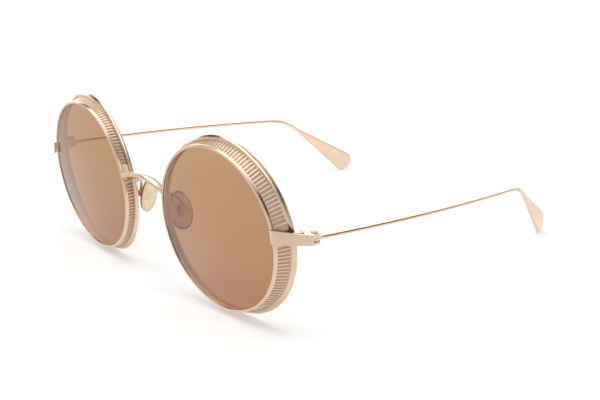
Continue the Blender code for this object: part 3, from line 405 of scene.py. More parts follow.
class Wire:
    """One output socket of a recipe, with arithmetic."""

    def __init__(self, recipe, socket):
        self.recipe = recipe
        self.socket = socket

    def math(self, operation, *others):
        """A Math node of this wire and the others."""
        values = dict(enumerate((self, *others)))
        return self.recipe.add("Math", {"operation": operation}, values)

    def __add__(self, other):
        return self.math("ADD", other)

    def __sub__(self, other):
        return self.math("SUBTRACT", other)

    def __rsub__(self, other):
        return self.recipe.add("Math", {"operation": "SUBTRACT"}, {0: other, 1: self})

    def __mul__(self, other):
        return self.math("MULTIPLY", other)

    def __truediv__(self, other):
        return self.math("DIVIDE", other)

    def clamped(self):
        """The same value kept between 0 and 1."""
        return self.math("MAXIMUM", 0.0).math("MINIMUM", 1.0)

    __radd__ = __add__
    __rmul__ = __mul__


class Recipe:
    """A node tree that is being written."""

    def __init__(self, tree):
        self.tree = tree
        tree.nodes.clear()

    def add(self, kind, settings=None, sockets=None, output=0):
        """Any node: its settings first, then its sockets by name or number."""
        node = self.tree.nodes.new("ShaderNode" + kind)
        for name, value in (settings or {}).items():
            if name == "stops":
                ramp = node.color_ramp.elements
                while len(ramp) < len(value):
                    ramp.new(0.5)
                for element, (place, tone) in zip(ramp, value):
                    element.position = place
                    element.color = (tone, tone, tone, 1.0)
            else:
                setattr(node, name, value)
        for name, value in (sockets or {}).items():
            slot = node.inputs[name]
            if isinstance(value, Wire):
                self.tree.links.new(value.socket, slot)
            elif slot.type == "RGBA":
                slot.default_value = (*value, 1.0)
            else:
                slot.default_value = value
        return Wire(self, node.outputs[output]) if len(node.outputs) else None

    def mix(self, factor, first, second, blend="MIX"):
        """Two colours through one Mix node."""
        settings = {"data_type": "RGBA", "blend_type": blend}
        return self.add("Mix", settings, {0: factor, 6: first, 7: second}, 2)

    def place(self):
        """Where a point lies on the object, in metres."""
        return self.add("TexCoord", output="Object")

    def vector(self, operation, first, second, output=0):
        """Two vectors through one Vector Math node."""
        return self.add("VectorMath", {"operation": operation}, {0: first, 1: second}, output)

    def offsets(self, centre, axes):
        """How far a point lies from a centre along each axis."""
        away = self.vector("SUBTRACT", self.place(), centre)
        return [self.vector("DOT_PRODUCT", away, axis, "Value") for axis in axes]

    def noise(self, scale, detail=2.0, stretch=(1.0, 1.0, 1.0)):
        """Soft noise; the scale is in lumps per metre."""
        where = self.add("Mapping", None, {"Vector": self.place(), "Scale": stretch})
        return self.add("TexNoise", None, {"Vector": where, "Scale": scale, "Detail": detail})

    def ramp(self, factor, *stops):
        """A grey ramp; the stops are place and tone."""
        return self.add("ValToRGB", {"stops": stops}, {0: factor})

    def bump(self, height, strength, distance):
        """A normal from a height."""
        sockets = {"Strength": strength, "Distance": distance, "Height": height}
        return self.add("Bump", None, sockets)

    def surface(self, sockets):
        """A Principled shader with these sockets, wired to the output."""
        self.add("OutputMaterial", None, {"Surface": self.add("BsdfPrincipled", None, sockets)})


def band_masks(recipe, side):
    """1 on a band's sunk panels, where shade is painted into the colour, and 1 on the inner side of
    the band and the rear rim.
    """
    sizes = chosen("rims")
    front_rim, front, rear, outer = rim_radii()[1:]
    centre = mirrored(Vector((NOSE_GAP_HALF + front_rim, 0.0, 0.0)) + to_row(), side)
    axes = [mirrored(axis, side) for axis in lens_axes()]
    outward, upward, depth = recipe.offsets(centre, axes)
    room = REAR_DEPTH - RIM_BACK + outward * (REAR_SWING / outer)
    reach = (depth - RIM_BACK) / room
    turn = upward.math("ARCTAN2", outward - reach * REAR_OFFSET)
    aside = outward - reach.clamped() * REAR_OFFSET
    radius = (upward * upward + aside * aside).math("SQRT")
    below = front + reach.clamped() * (rear - front) - SATIN_DEPTH - radius
    inner = eased((below / SATIN_EDGE).clamped())
    turn = turn - reach * (FLUTE_FAN / rear) * turn.math("SINE")
    place = (turn * (sizes.flutes / (2 * pi))).math("FRACT")
    away = place.math("MINIMUM", 1.0 - place)
    sunk = eased(((away - sizes.ridge) / sizes.slope).clamped())
    ends = eased((reach.math("MINIMUM", 1.0 - reach) / sizes.border - 1.0).clamped())
    # The panel mask carries both a satin roughness and the painted shade of the recesses
    mask = sunk * ends
    pitch = 360.0 / sizes.flutes
    for first, last in PLAIN_SECTORS:
        first = radians(ceil(first / pitch) * pitch)
        last = radians(floor(last / pitch + 0.001) * pitch)
        mask = mask * (1.0 - turn.math("GREATER_THAN", first) * turn.math("LESS_THAN", last))
    return mask * (1.0 - inner), inner


def plated(recipe, base, drift, polish, handling, masks=None):
    """Plated metal: two tones that drift, handling marks, fine polishing lines and pits, with
    painted shade darkening its nooks and, on bands, its sunk panels.
    """
    cloud = recipe.noise(120.0, 3.0)
    smears = recipe.noise(420.0, 4.0, (1.0, 1.0, 2.2))
    lines = recipe.noise(3800.0, 2.0, (1.0, 0.22, 1.0))
    pits = recipe.noise(9000.0, 1.0)
    tone = recipe.ramp(cloud, (0.35, 0.0), (0.65, 1.0))
    worn = recipe.ramp(smears, (0.45, 0.0), (0.72, 1.0))
    dots = recipe.ramp(pits, (0.66, 0.0), (0.76, 1.0))
    dark = [c * 0.6 for c in base]
    tint = recipe.mix(dots * 0.25, recipe.mix(tone, base, drift), dark)
    rough = polish + worn * handling + lines * (handling * 0.4) + dots * 0.15
    if masks:
        sunk, inner = masks
        # Sunk panels: rougher like satin, and their colour darkened as painted shade in the
        # recesses
        tint = recipe.mix(sunk * 0.9, tint, dark)
        tint = recipe.mix(inner * 0.9, tint, SATIN)
        rough = rough + sunk * 0.2 + inner * 0.35
    # Painted shade: ambient occlusion darkens the base colour in nooks and crevices
    open_air = recipe.add("AmbientOcclusion", {"samples": 6}, {"Distance": 0.5 * MM}, "AO")
    painted_nook_shade = recipe.ramp(open_air, (0.15, 1.0), (0.6, 0.0))
    height = lines * 0.5 + smears * 0.5 - dots * 0.6
    recipe.surface(
        {
            "Base Color": recipe.mix(painted_nook_shade * 0.7, tint, [c * 0.3 for c in base]),
            "Metallic": 1.0,
            "Roughness": rough + painted_nook_shade * 0.15,
            "Normal": recipe.bump(height, 0.12, 0.012 * MM),
        }
    )


def rose_gold(recipe, tones, masks=None):
    """The polished plating of the frame."""
    plated(recipe, tones.rose_gold, tones.champagne, tones.polish, tones.handling, masks)


def banded_gold(label, side):
    """The frame's plating on one side's band and rear rim, with rougher panels darkened by painted
    shade, and a satin inside.
    """

    def write(recipe, tones):
        rose_gold(recipe, tones, band_masks(recipe, side))

    return "frame_metal", "Banded rose gold " + label, write


def screw_gold(recipe, tones):
    """The screws' darker plating, turned and a little duller."""
    shade = [c * 0.8 for c in tones.screw_gold]
    plated(recipe, tones.screw_gold, shade, tones.polish + 0.1, tones.handling * 1.5)


def tinted_lens(recipe, tones):
    """Copper tint that deepens downwards, with a pink drift and a faint film of dust."""
    height = recipe.add("SeparateXYZ", None, {0: recipe.place()}, "Z")
    low, high = (corner.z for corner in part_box("lens_left"))
    rise = ((height - low) / (high - low)).clamped()
    tint = recipe.mix(rise, tones.lens_bottom, tones.lens_top)
    drift = recipe.ramp(recipe.noise(28.0, 1.0), (0.4, 0.0), (0.62, 1.0))
    dust = recipe.ramp(recipe.noise(5200.0, 2.0), (0.7, 0.0), (0.8, 1.0))
    film = recipe.noise(90.0, 3.0)
    recipe.surface(
        {
            "Base Color": recipe.mix(drift * 0.6, tint, tones.lens_blush),
            "Roughness": 0.008 + dust * 0.05 + film * 0.012,
            "Transmission Weight": 1.0,
            "IOR": 1.5,
            "Coat Weight": 0.08 + film * 0.08,
            "Coat Roughness": 0.03,
            "Coat IOR": 1.7,
        }
    )


def pad_side_mask(recipe, side):
    """1 on the narrow side of a nose pad, where shade is painted, and 0 on its face and back."""
    sizes = chosen("pads")
    centre = mirrored(pad_pivot(), side) + to_row()
    axes = [mirrored(axis, side) for axis in pad_axes()]
    high, wide, level = recipe.offsets(centre, axes)
    high = high / sizes.half_length
    wide = wide / sizes.half_width
    rim = (((high * high + wide * wide).math("SQRT") - 0.84) / 0.1).clamped()
    return rim * ((LUG_REACH + 0.55 * MM - level) / (0.5 * MM)).clamped()


def cream_plastic(label, side):
    """Soft moulded plastic that lets light through, with a fine matt grain, painted shade on its
    narrow sides and a faint painted glow on its faces.
    """

    def write(recipe, tones):
        edge = pad_side_mask(recipe, side)
        cloud = recipe.ramp(recipe.noise(260.0, 2.0), (0.35, 0.0), (0.7, 1.0))
        grain = recipe.noise(6000.0, 2.0)
        scuffs = recipe.ramp(recipe.noise(900.0, 3.0, (1.0, 1.0, 0.4)), (0.5, 0.0), (0.75, 1.0))
        face = recipe.mix(cloud * 0.6, tones.pad_cream, tones.pad_shade)
        recipe.surface(
            {
                # Painted shade: the narrow sides take a dark colour
                "Base Color": recipe.mix(edge * 0.92, face, tones.pad_side_shade),
                "Roughness": 0.22 + scuffs * 0.12 + grain * 0.06,
                "IOR": 1.43,
                "Transmission Weight": 0.3,
                "Subsurface Weight": 0.4,
                "Subsurface Radius": (1.0, 0.8, 0.5),
                "Subsurface Scale": 1.2 * MM,
                "Coat Weight": 0.25 - scuffs * 0.12,
                "Coat Roughness": 0.12,
                # Painted glow: the cream faces emit a little light, standing in for light that
                # soaks through; the sides stay dark
                "Emission Color": recipe.mix(edge, face, BLACK),
                "Emission Strength": 0.14,
                "Normal": recipe.bump(grain, 0.15, 0.01 * MM),
            }
        )

    return "pad_plastic", "Cream pad plastic " + label, write


# The record's slot, the material's name and who writes it
FRAME_METAL = ("frame_metal", "Polished rose gold", rose_gold)
SCREW_METAL = ("screw_metal", "Turned screw gold", screw_gold)
LENS_TINT = ("tinted_lens", "Copper tinted lens", tinted_lens)


def finish(name, write):
    """The material of that name, written on its first use."""
    made = bpy.data.materials.get(name)
    if made is None:
        made = bpy.data.materials.new(name)
        made.use_nodes = True
        write(Recipe(made.node_tree), chosen("finishes"))
    return made


def mirrored(point, side):
    """The same point on the wearer's left (1) or right (-1)."""
    return Vector((point[0] * side, point[1], point[2]))


def lens_axes():
    """Temporal, upward and rearward unit vectors of the left lens."""
    outward = Vector((cos(WRAP), sin(WRAP), 0.0))
    level = Vector((-sin(WRAP), cos(WRAP), 0.0))
    upward = UP * cos(FRONT_TILT) - level * sin(FRONT_TILT)
    return outward, upward, level * cos(FRONT_TILT) + UP * sin(FRONT_TILT)


def rim_radii():
    """Radii of the opening, the front rim, the band's two ends and the rear rim."""
    sizes = chosen("rims")
    front_rim = sizes.opening + sizes.wall
    band_front = front_rim - BAND_STEP
    band_rear = band_front + BAND_FLARE
    return sizes.opening, front_rim, band_front, band_rear, band_rear + REAR_LIP


def round_lens(angle, radius, depth, offset=0.0, swing=0.0):
    """Points about the left lens axis; the angle may be an array, in radians."""
    outward, upward, rearward = (np.array(axis) for axis in lens_axes())
    angle = np.asarray(angle, float)[..., None]
    radius = np.asarray(radius, float)[..., None]
    centre = np.array((NOSE_GAP_HALF + rim_radii()[1], 0.0, 0.0))
    back = np.asarray(depth, float)[..., None] + swing * np.cos(angle)
    flat = outward * (offset + radius * np.cos(angle)) + upward * (radius * np.sin(angle))
    return centre + flat + rearward * back


def rim_point(angle, radius, depth, offset=0.0, swing=0.0):
    """One point about the left lens axis; the angle is in degrees."""
    return Vector(round_lens(radians(angle), radius, depth, offset, swing))


def rear_edge(angle):
    """Outer back edge of the left rear rim."""
    return rim_point(angle, rim_radii()[4], REAR_BACK, REAR_OFFSET, REAR_SWING)


def hinge_place():
    """Middle of the left tongue on its temple's hinge axis."""
    edge = rear_edge(0.0)
    return Vector((edge.x + HINGE_OUTSET, edge.y + HINGE_SETBACK, HINGE_HEIGHT))


def to_row():
    """Shift from the drawing of the fronts to the packed part's frame."""
    return Vector(JOINTS["temple_fold_left"]["pos_m"]) - hinge_place()


def rounded(corners, radii, steps=5, loop=True):
    """A flat outline with its corners rounded off, each by its own radius."""
    points = []
    total = len(corners)
    for i, (corner, radius) in enumerate(zip(corners, radii)):
        here = Vector(corner)
        if radius <= 0 or (not loop and i in (0, total - 1)):
            points.append(here)
            continue
        before = Vector(corners[i - 1]) - here
        after = Vector(corners[(i + 1) % total]) - here
        start = here + before.normalized() * min(radius, before.length * 0.48)
        end = here + after.normalized() * min(radius, after.length * 0.48)
        for k in range(steps + 1):
            t = k / steps
            points.append(start * (1 - t) ** 2 + here * 2 * t * (1 - t) + end * t**2)
    return points


def grid(points, loop=False):
    """Quads over rows of closed sections; an open run of rows gets two caps."""
    points = np.asarray(points, float)
    rows, columns = points.shape[:2]
    index = np.arange(rows * columns).reshape(rows, columns)
    upper = np.roll(index, -1, axis=0) if loop else index[1:]
    lower = index if loop else index[:-1]
    quads = np.stack([lower, np.roll(lower, -1, 1), np.roll(upper, -1, 1), upper], -1)
    faces = quads.reshape(-1, 4).tolist()
    if not loop:
        faces += [index[0].tolist(), index[-1].tolist()]
    return points.reshape(-1, 3), faces


def mesh_object(name, rows, side=1, loop=False):
    """A closed mesh in the packed part's frame, mirrored for the right side."""
    points, faces = grid(rows, loop)
    mesh = bpy.data.meshes.new(name)
    mesh.from_pydata((points * (side, 1.0, 1.0) + np.array(to_row())).tolist(), [], faces)
    shape = bmesh.new()
    shape.from_mesh(mesh)
    bmesh.ops.recalc_face_normals(shape, faces=shape.faces)
    shape.to_mesh(mesh)
    shape.free()
    made = bpy.data.objects.new(name, mesh)
    bpy.context.scene.collection.objects.link(made)
    return made


def ring(name, profile, steps, side, offset=0.0, swing_share=0.0):
    """A profile of (radius, depth) turned about a lens axis."""
    turn = np.linspace(0.0, 2 * pi, steps, endpoint=False)
    columns = [round_lens(turn, r, d, offset, swing_share * r) for r, d in profile]
    return mesh_object(name, np.stack(columns, 1), side, True)


def pin(name, place, axis, stops, side=1, steps=40):
    """A turned pin from (distance, radius) stops along an axis."""
    across = axis.orthogonal().normalized()
    other = axis.cross(across)
    turns = [2 * pi * i / steps for i in range(steps)]
    rows = []
    for distance, radius in stops:
        centre = place + axis * distance
        rows.append([centre + across * radius * cos(a) + other * radius * sin(a) for a in turns])
    return mesh_object(name, rows, side)


def bore(place, axis, reach, radius, side, steps=40):
    """The cutter for a round hole that runs right through."""
    return pin("bore", place, axis, ((-reach, radius), (reach, radius)), side, steps)


def raised(centre, outline, axes, half):
    """Two rows of an outline in the plane of two axes, half a thickness each way along a third."""
    first, second, along = axes
    ends = (centre + along * half * sign for sign in (-1, 1))
    return [[end + first * a + second * b for a, b in outline] for end in ends]


def block(centre, axes, halves, side):
    """A box along three axes, used as a cutter."""
    a, b, half = halves
    corners = ((-a, -b), (a, -b), (a, b), (-a, b))
    return mesh_object("block", raised(centre, corners, axes, half), side)


def shaped(made, bevel=0.0, cuts=(), joins=(), late_bevel=0.0):
    """Bevel a mesh, join and cut it, and keep the result as plain mesh."""

    def soften(width, segments):
        edge = made.modifiers.new("Edge", "BEVEL")
        edge.width = width
        edge.segments = segments
        edge.limit_method = "ANGLE"
        edge.angle_limit = radians(CREASE)
        edge.use_clamp_overlap = True

    if bevel:
        soften(bevel, 3)
    for tools, operation in ((joins, "UNION"), (cuts, "DIFFERENCE")):
        for tool in tools:
            work = made.modifiers.new(tool.name, "BOOLEAN")
            work.operation = operation
            work.object = tool
            work.solver = "EXACT"
    if late_bevel:
        soften(late_bevel, 2)
    bpy.context.view_layer.update()
    graph = bpy.context.evaluated_depsgraph_get()
    baked = bpy.data.meshes.new_from_object(made.evaluated_get(graph))
    made.modifiers.clear()
    if not baked.polygons:
        raise RuntimeError("Nothing is left of " + made.name)
    old = made.data
    made.data = baked
    baked.name = made.name
    bpy.data.meshes.remove(old)
    for tool in (*cuts, *joins):
        bpy.data.objects.remove(tool, do_unlink=True)
    return made


def dress(made, material, body, node, sharp):
    """Give a piece its finish and its body, and hide the packed node that it stands for."""
    slot, name, write = material
    made.data.materials.clear()
    made.data.materials.append(finish(name, write))
    made.data.shade_smooth()
    made.data.set_sharp_from_angle(angle=radians(sharp))
    even = made.modifiers.new("Even", "WEIGHTED_NORMAL")
    even.keep_sharp = True
    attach(made, body)
    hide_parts(node)
    return made


def both_sides(piece, build, material=FRAME_METAL, body="front", node=None, sharp=CREASE):
    """Build a piece left and right, from its rows or by a function, and dress it for its node."""
    made = []
    for label, side in SIDES:
        maker = build if callable(build) else partial(mesh_object, rows=build)
        shape = maker(label + "_" + piece, side=side)
        own = material(label, side) if callable(material) else material
        place = body if body == "front" else body + "_" + label
        made.append(dress(shape, own, place, (node or piece) + "_" + label, sharp))
    return made


def make_front_rims():
    """The smooth rim round each lens, with its groove."""
    sizes = chosen("rims")
    inner, outer = rim_radii()[:2]
    corners = [(inner, RIM_FACE), (outer, RIM_FACE), (outer, RIM_BACK), (inner, RIM_BACK)]
    corners += [(inner, GROOVE_CENTRE + GROOVE_HALF), (inner + GROOVE_DEPTH, GROOVE_CENTRE)]
    corners += [(inner, GROOVE_CENTRE - GROOVE_HALF)]
    soft = sizes.front_round
    profile = rounded(corners, (soft * 0.55, soft, soft * 0.4, 0.0, 0.0, 0.0, 0.0))
    both_sides("front_rim", partial(ring, profile=profile, steps=sizes.steps))


def flute_lift(turn, depth_share):
    """Height above the cone: ridges, sunk panels, and the plain sectors."""
    sizes = chosen("rims")
    pitch = 2 * pi / sizes.flutes
    place = (turn / pitch) % 1.0
    away = np.minimum(place, 1.0 - place)
    sunk = eased(np.clip((away - sizes.ridge) / sizes.slope, 0.0, 1.0))
    ends = eased(held(min(depth_share, 1.0 - depth_share) / sizes.border - 1.0))
    crest = np.minimum(away / sizes.ridge, 1.0) ** 2
    crest = crest + np.clip(away / sizes.ridge - 2.0, 0.0, 1.0)
    lift = -(sizes.flute_depth * sunk + sizes.crest * crest) * ends
    flute = np.degrees(np.floor(turn / pitch) * pitch)
    for start, end in PLAIN_SECTORS:
        inside = (flute >= start) & (flute + np.degrees(pitch) <= end)
        lift = np.where(inside, PLAIN_LIFT, lift)
    return lift


def make_fluted_bands():
    """The deep band between the two rims, with its ridges and sunk panels."""
    sizes = chosen("rims")
    front, rear, outer = rim_radii()[2:]
    swing = REAR_SWING * rear / outer
    rise = [sizes.ridge + sizes.slope * part for part in (0.0, 0.33, 0.66, 1.0)]
    half = [sizes.ridge * 0.6, *rise, 0.3, 0.4]
    places = np.array([0.0, *half, 0.5, *[1.0 - place for place in reversed(half)]])
    turn = ((np.arange(sizes.flutes)[:, None] + places) * 2 * pi / sizes.flutes).ravel()
    fan = turn + FLUTE_FAN / rear * np.sin(turn)

    def column(depth_share, lift):
        at_front = round_lens(turn, front + lift, RIM_BACK - TOUCH)
        at_rear = round_lens(fan, rear + lift, REAR_DEPTH + TOUCH, REAR_OFFSET, swing)
        return at_front * (1 - depth_share) + at_rear * depth_share

    edges = [sizes.border * part for part in (1, 1.35, 1.7, 2)]
    outside = [0.0, sizes.border * 0.5, *edges, 0.3, 0.5, 0.7]
    outside += [*[1 - edge for edge in reversed(edges)], 1.0]
    columns = [column(place, flute_lift(turn, place)) for place in outside]
    for place in (1.0, 0.5, 0.0):
        wall = BAND_WALL_FRONT + (BAND_WALL_REAR - BAND_WALL_FRONT) * place
        columns.append(column(place, -wall))
    build = partial(mesh_object, rows=np.stack(columns, 1), loop=True)
    both_sides("fluted_band", build, banded_gold, sharp=50.0)


def make_rear_rims():
    """The rounded rim that closes each band at the back."""
    sizes = chosen("rims")
    band_end, outer = rim_radii()[3:]
    outer -= REAR_TRIM
    inner = band_end - REAR_BACKING
    toe = band_end + DOME_START
    soft = sizes.rear_round
    first, last = DOME_TURNS[0], DOME_TURNS[-1]
    bend = (outer - toe) / (sin(last) - sin(first))
    dome = []
    for turn in DOME_TURNS:
        curl = bend * (cos(turn) - cos(last))
        height = toe + bend * (sin(turn) - sin(first))
        dome.append(Vector((height, REAR_DEPTH + sizes.rear_dome - curl)))
    seat = dome[0].y
    edges = [dome[-2], dome[-1], (outer, REAR_BACK), (inner, REAR_BACK), (inner, REAR_DEPTH)]
    edges.append((band_end - BEAD_INSIDE, seat))
    tail = rounded(edges, (0.0, soft * 0.5, soft * 0.4, soft * 0.6, 0.0, 0.0), loop=False)
    bead = [(band_end - TOUCH, seat - BEAD_HEIGHT), (band_end + BEAD_HEIGHT, seat - BEAD_HEIGHT)]
    place = {"offset": REAR_OFFSET, "swing_share": REAR_SWING / outer}
    profile = bead + dome[:-2] + tail
    both_sides("rear_rim", partial(ring, profile=profile, steps=sizes.steps, **place), banded_gold)


def make_lenses():
    """The curved tinted lenses, each with an edge that sits in the groove."""
    sizes = chosen("rims")
    edge = sizes.opening - LENS_CLEARANCE
    bed = GROOVE_CENTRE - GROOVE_HALF

    def front_depth(radius):
        return bed - sqrt(LENS_CURVE**2 - radius**2) + sqrt(LENS_CURVE**2 - edge**2)

    radii = [edge * i / LENS_RINGS for i in range(1, LENS_RINGS + 1)]
    profile = [(radius, front_depth(radius)) for radius in radii]
    profile += [(edge + GROOVE_DEPTH, GROOVE_CENTRE), (edge, GROOVE_CENTRE + GROOVE_HALF)]
    profile += [(radius, front_depth(radius) + sizes.lens_thickness) for radius in reversed(radii)]
    turn = np.linspace(0.0, 2 * pi, sizes.steps // 2, endpoint=False)
    rows = np.stack([round_lens(turn, radius, depth) for radius, depth in profile])
    for lens in both_sides("lens", rows, LENS_TINT):
        lens.visible_shadow = False


def bridge_section(x):
    """The bar's closed section at one distance from the middle."""
    sizes = chosen("metalwork")
    bow = (x / BRIDGE_HALF_LENGTH) ** 2
    fall = (1 - cos(pi * min(1.0, abs(x) / BRIDGE_HALF_WAVE))) / 2
    past = max(0.0, abs(x) - GUSSET_START) / (BRIDGE_HALF_LENGTH - GUSSET_START)
    drop = GUSSET_DROP * past**2
    nasal = rim_point(180.0, rim_radii()[1], RIM_FACE).y
    front = nasal - BRIDGE_PROUD + BRIDGE_FRONT_CURL * bow
    rear = rear_edge(180.0).y - BRIDGE_SHORT - BRIDGE_REAR_CURL * bow
    front_top = BRIDGE_FRONT_HEIGHT - BRIDGE_FRONT_SAG * fall
    rear_top = BRIDGE_REAR_HEIGHT - BRIDGE_REAR_SAG * fall
    thick = sizes.bridge_thickness
    middle = (front + rear) / 2
    middle_top = (front_top + rear_top) / 2
    corners = [
        (front, front_top - thick - drop * GUSSET_FRONT_SHARE),
        (front, front_top),
        (middle, middle_top + sizes.bridge_crown),
        (rear, rear_top),
        (rear, rear_top - thick),
        (middle, middle_top - thick - drop),
    ]
    return [(x, y, z) for y, z in rounded(corners, BRIDGE_CORNERS)]


def make_bridge():
    """The arched bar, trimmed to both front rims, plain cones and rear rims."""
    opening, front_rim, band_front, band_rear, outer = rim_radii()
    stops = np.linspace(-BRIDGE_HALF_LENGTH, BRIDGE_HALF_LENGTH, BRIDGE_STATIONS)
    made = mesh_object("arched_bridge", [bridge_section(x) for x in stops])
    inner = opening - BRIDGE_CUT_DEPTH
    slope = (band_rear - REAR_OFFSET - band_front) / (REAR_DEPTH - REAR_SWING - RIM_BACK)
    cone = band_front + PLAIN_LIFT - SOLDER_BITE
    cone_end = cone + slope * (REAR_BACK - RIM_BACK)
    rim, ahead = front_rim - SOLDER_BITE, RIM_FACE - BRIDGE_CUT_AHEAD
    front_space = [(inner, ahead), (rim, ahead), (rim, RIM_BACK), (cone, RIM_BACK)]
    front_space += [(cone_end, REAR_BACK), (inner, REAR_BACK)]
    edge, start, end = outer - SOLDER_BITE, REAR_DEPTH + TOUCH, REAR_BACK - TOUCH
    rear_space = [(inner, start), (edge, start), (edge, end), (inner, end)]
    swing = REAR_SWING / outer
    cuts = []
    for side in (1, -1):
        cuts.append(ring("front_space", front_space, CUT_STEPS, side))
        cuts.append(ring("rear_space", rear_space, CUT_STEPS, side, REAR_OFFSET, swing))
    dress(shaped(made, cuts=cuts), FRAME_METAL, "front", "bridge", CREASE)


def end_plan():
    """Plan outline of the left end piece, from the lip round the hinge block and back."""
    rim = rim_point(END_LIP_ANGLE, rim_radii()[1], RIM_FACE)
    lip_back = rim.y - SEAM
    corner = (rim.x + END_CORNER_REACH, lip_back - END_LIP_THICKNESS)
    hinge = hinge_place()
    block_front = hinge.y - BLOCK_LENGTH
    bend = (hinge.x + END_BEND_OUT, block_front - END_BEND_AHEAD)
    run = Vector((bend[0] - corner[0], bend[1] - corner[1])).normalized()
    inward = Vector((-run.y, run.x)) * END_PLATE
    inner_corner = (corner[0] + inward.x, lip_back)
    inner_bend = (bend[0] + inward.x, bend[1] + inward.y)
    lip_end = corner[0] - END_LIP_LENGTH
    outer_side = hinge.x + BLOCK_RADIUS
    path = [(lip_end, lip_back), (lip_end, corner[1]), corner, bend]
    path += [(outer_side, block_front + END_SIDE_BACK), (outer_side, hinge.y)]
    outline = rounded(path, END_CORNERS, loop=False)
    for i in range(1, 25):
        turn = pi * i / 24
        outline.append((hinge.x + BLOCK_RADIUS * cos(turn), hinge.y + BLOCK_RADIUS * sin(turn)))
    outline += [(hinge.x - BLOCK_RADIUS, block_front), inner_bend, inner_corner]
    return outline, inner_corner, inner_bend


def along_plate(front, rear, y):
    """A size that changes evenly from the lip to the hinge block."""
    return front + (rear - front) * held(y / (hinge_place().y - BLOCK_LENGTH))


def end_top(y):
    """Height of the end piece's upper side."""
    return along_plate(END_FRONT_HEIGHT + END_FRONT_HALF, END_REAR_HEIGHT + END_REAR_HALF, y)


def end_bottom(y):
    """Height of the end piece's lower side."""
    return along_plate(END_FRONT_HEIGHT - END_FRONT_HALF, END_REAR_HEIGHT - END_REAR_HALF, y)


def make_end_pieces():
    """The plate that wraps each rim and carries the slotted hinge block."""
    edge = chosen("metalwork").edge
    hinge = hinge_place()
    upright = (Vector((1, 0, 0)), Vector((0, 1, 0)), UP)
    front = -TONGUE_RADIUS - SEAM
    rear = BLOCK_RADIUS + 1 * MM
    middle = hinge + Vector((0.0, (front + rear) / 2, 0.0))
    halves = (rear, (rear - front) / 2, TONGUE_THICKNESS / 2 + TONGUE_CLEARANCE)
    plan, corner = end_plan()[:2]
    lip = [held((corner[0] - x) / END_LIP_LENGTH) for x, y in plan]
    rows = [
        [(x + on_lip * lean, y, height(y)) for (x, y), on_lip in zip(plan, lip)]
        for height, lean in ((end_bottom, END_LIP_SLANT), (end_top, -END_LIP_SLANT))
    ]

    def build(name, side):
        slot = block(middle, upright, halves, side)
        hole = bore(hinge, UP, 2 * END_REAR_HALF, HINGE_HOLE, side)
        return shaped(mesh_object(name, rows, side), edge, cuts=(slot, hole))

    both_sides("end_piece", build, sharp=38.0)


def closing_plan():
    """Plan outline of the left closing block and the place of its screw."""
    corner, bend = end_plan()[1:]
    run = Vector((bend[0] - corner[0], bend[1] - corner[1])).normalized()
    away = Vector((-run.y, run.x)) * CLOSING_GAP
    hinge = hinge_place()
    block_front = hinge.y - BLOCK_LENGTH
    inner = rear_edge(0.0).x + SEAM
    block_side = hinge.x - BLOCK_RADIUS - SEAM
    rear = block_front + CLOSING_OVERLAP

    def on_plate(y):
        return corner[0] + away.x + run.x * (y - corner[1] - away.y) / run.y, y

    corner_y = block_front - SEAM
    plan = [(inner, rear - CLOSING_DEPTH), on_plate(rear - CLOSING_DEPTH), on_plate(bend[1] - SEAM)]
    plan += [(block_side, corner_y), (block_side, rear), (inner, rear)]
    return plan, Vector(((inner + block_side) / 2, corner_y - CLOSING_SCREW_LEAD, 0.0))


def make_closing_blocks():
    """The block behind each end plate, with its countersunk screw hole."""
    edge = chosen("metalwork").edge
    plan, place = closing_plan()
    outline = rounded(plan, [0.12 * MM] * len(plan), 2)
    rows = [[(x, y, height(y)) for x, y in outline] for height in (end_bottom, end_top)]
    top = end_top(place.y)
    room = CLOSING_HEAD + PIN_CLEARANCE
    hole = CLOSING_SHANK + PIN_CLEARANCE
    stops = [(end_bottom(place.y) - 1 * MM, hole), (top - CLOSING_RECESS, hole)]
    stops += [(top - CLOSING_RECESS, room), (top - CLOSING_LEAD, room)]
    stops += [(top + CLOSING_LEAD, room + 2 * CLOSING_LEAD)]

    def build(name, side):
        cut = pin("screw_hole", place, UP, stops, side)
        return shaped(mesh_object(name, rows, side), edge * 0.8, cuts=(cut,))

    both_sides("closing_block", build, sharp=38.0)


def screw_stops(foot, seat, shank, height, radius, soft):
    """The turned outline of a screw: its shank, and a low domed head above the seat."""
    stops = [(foot, shank), (seat, shank), (seat, radius)]
    for k in range(6):
        turn = pi / 2 * k / 5
        side = radius - soft * 1.3 * (1 - cos(turn))
        stops.append((seat + height - soft * (1 - sin(turn)), side))
    return [*stops, (seat + height + soft * 0.2, radius * 0.45)]


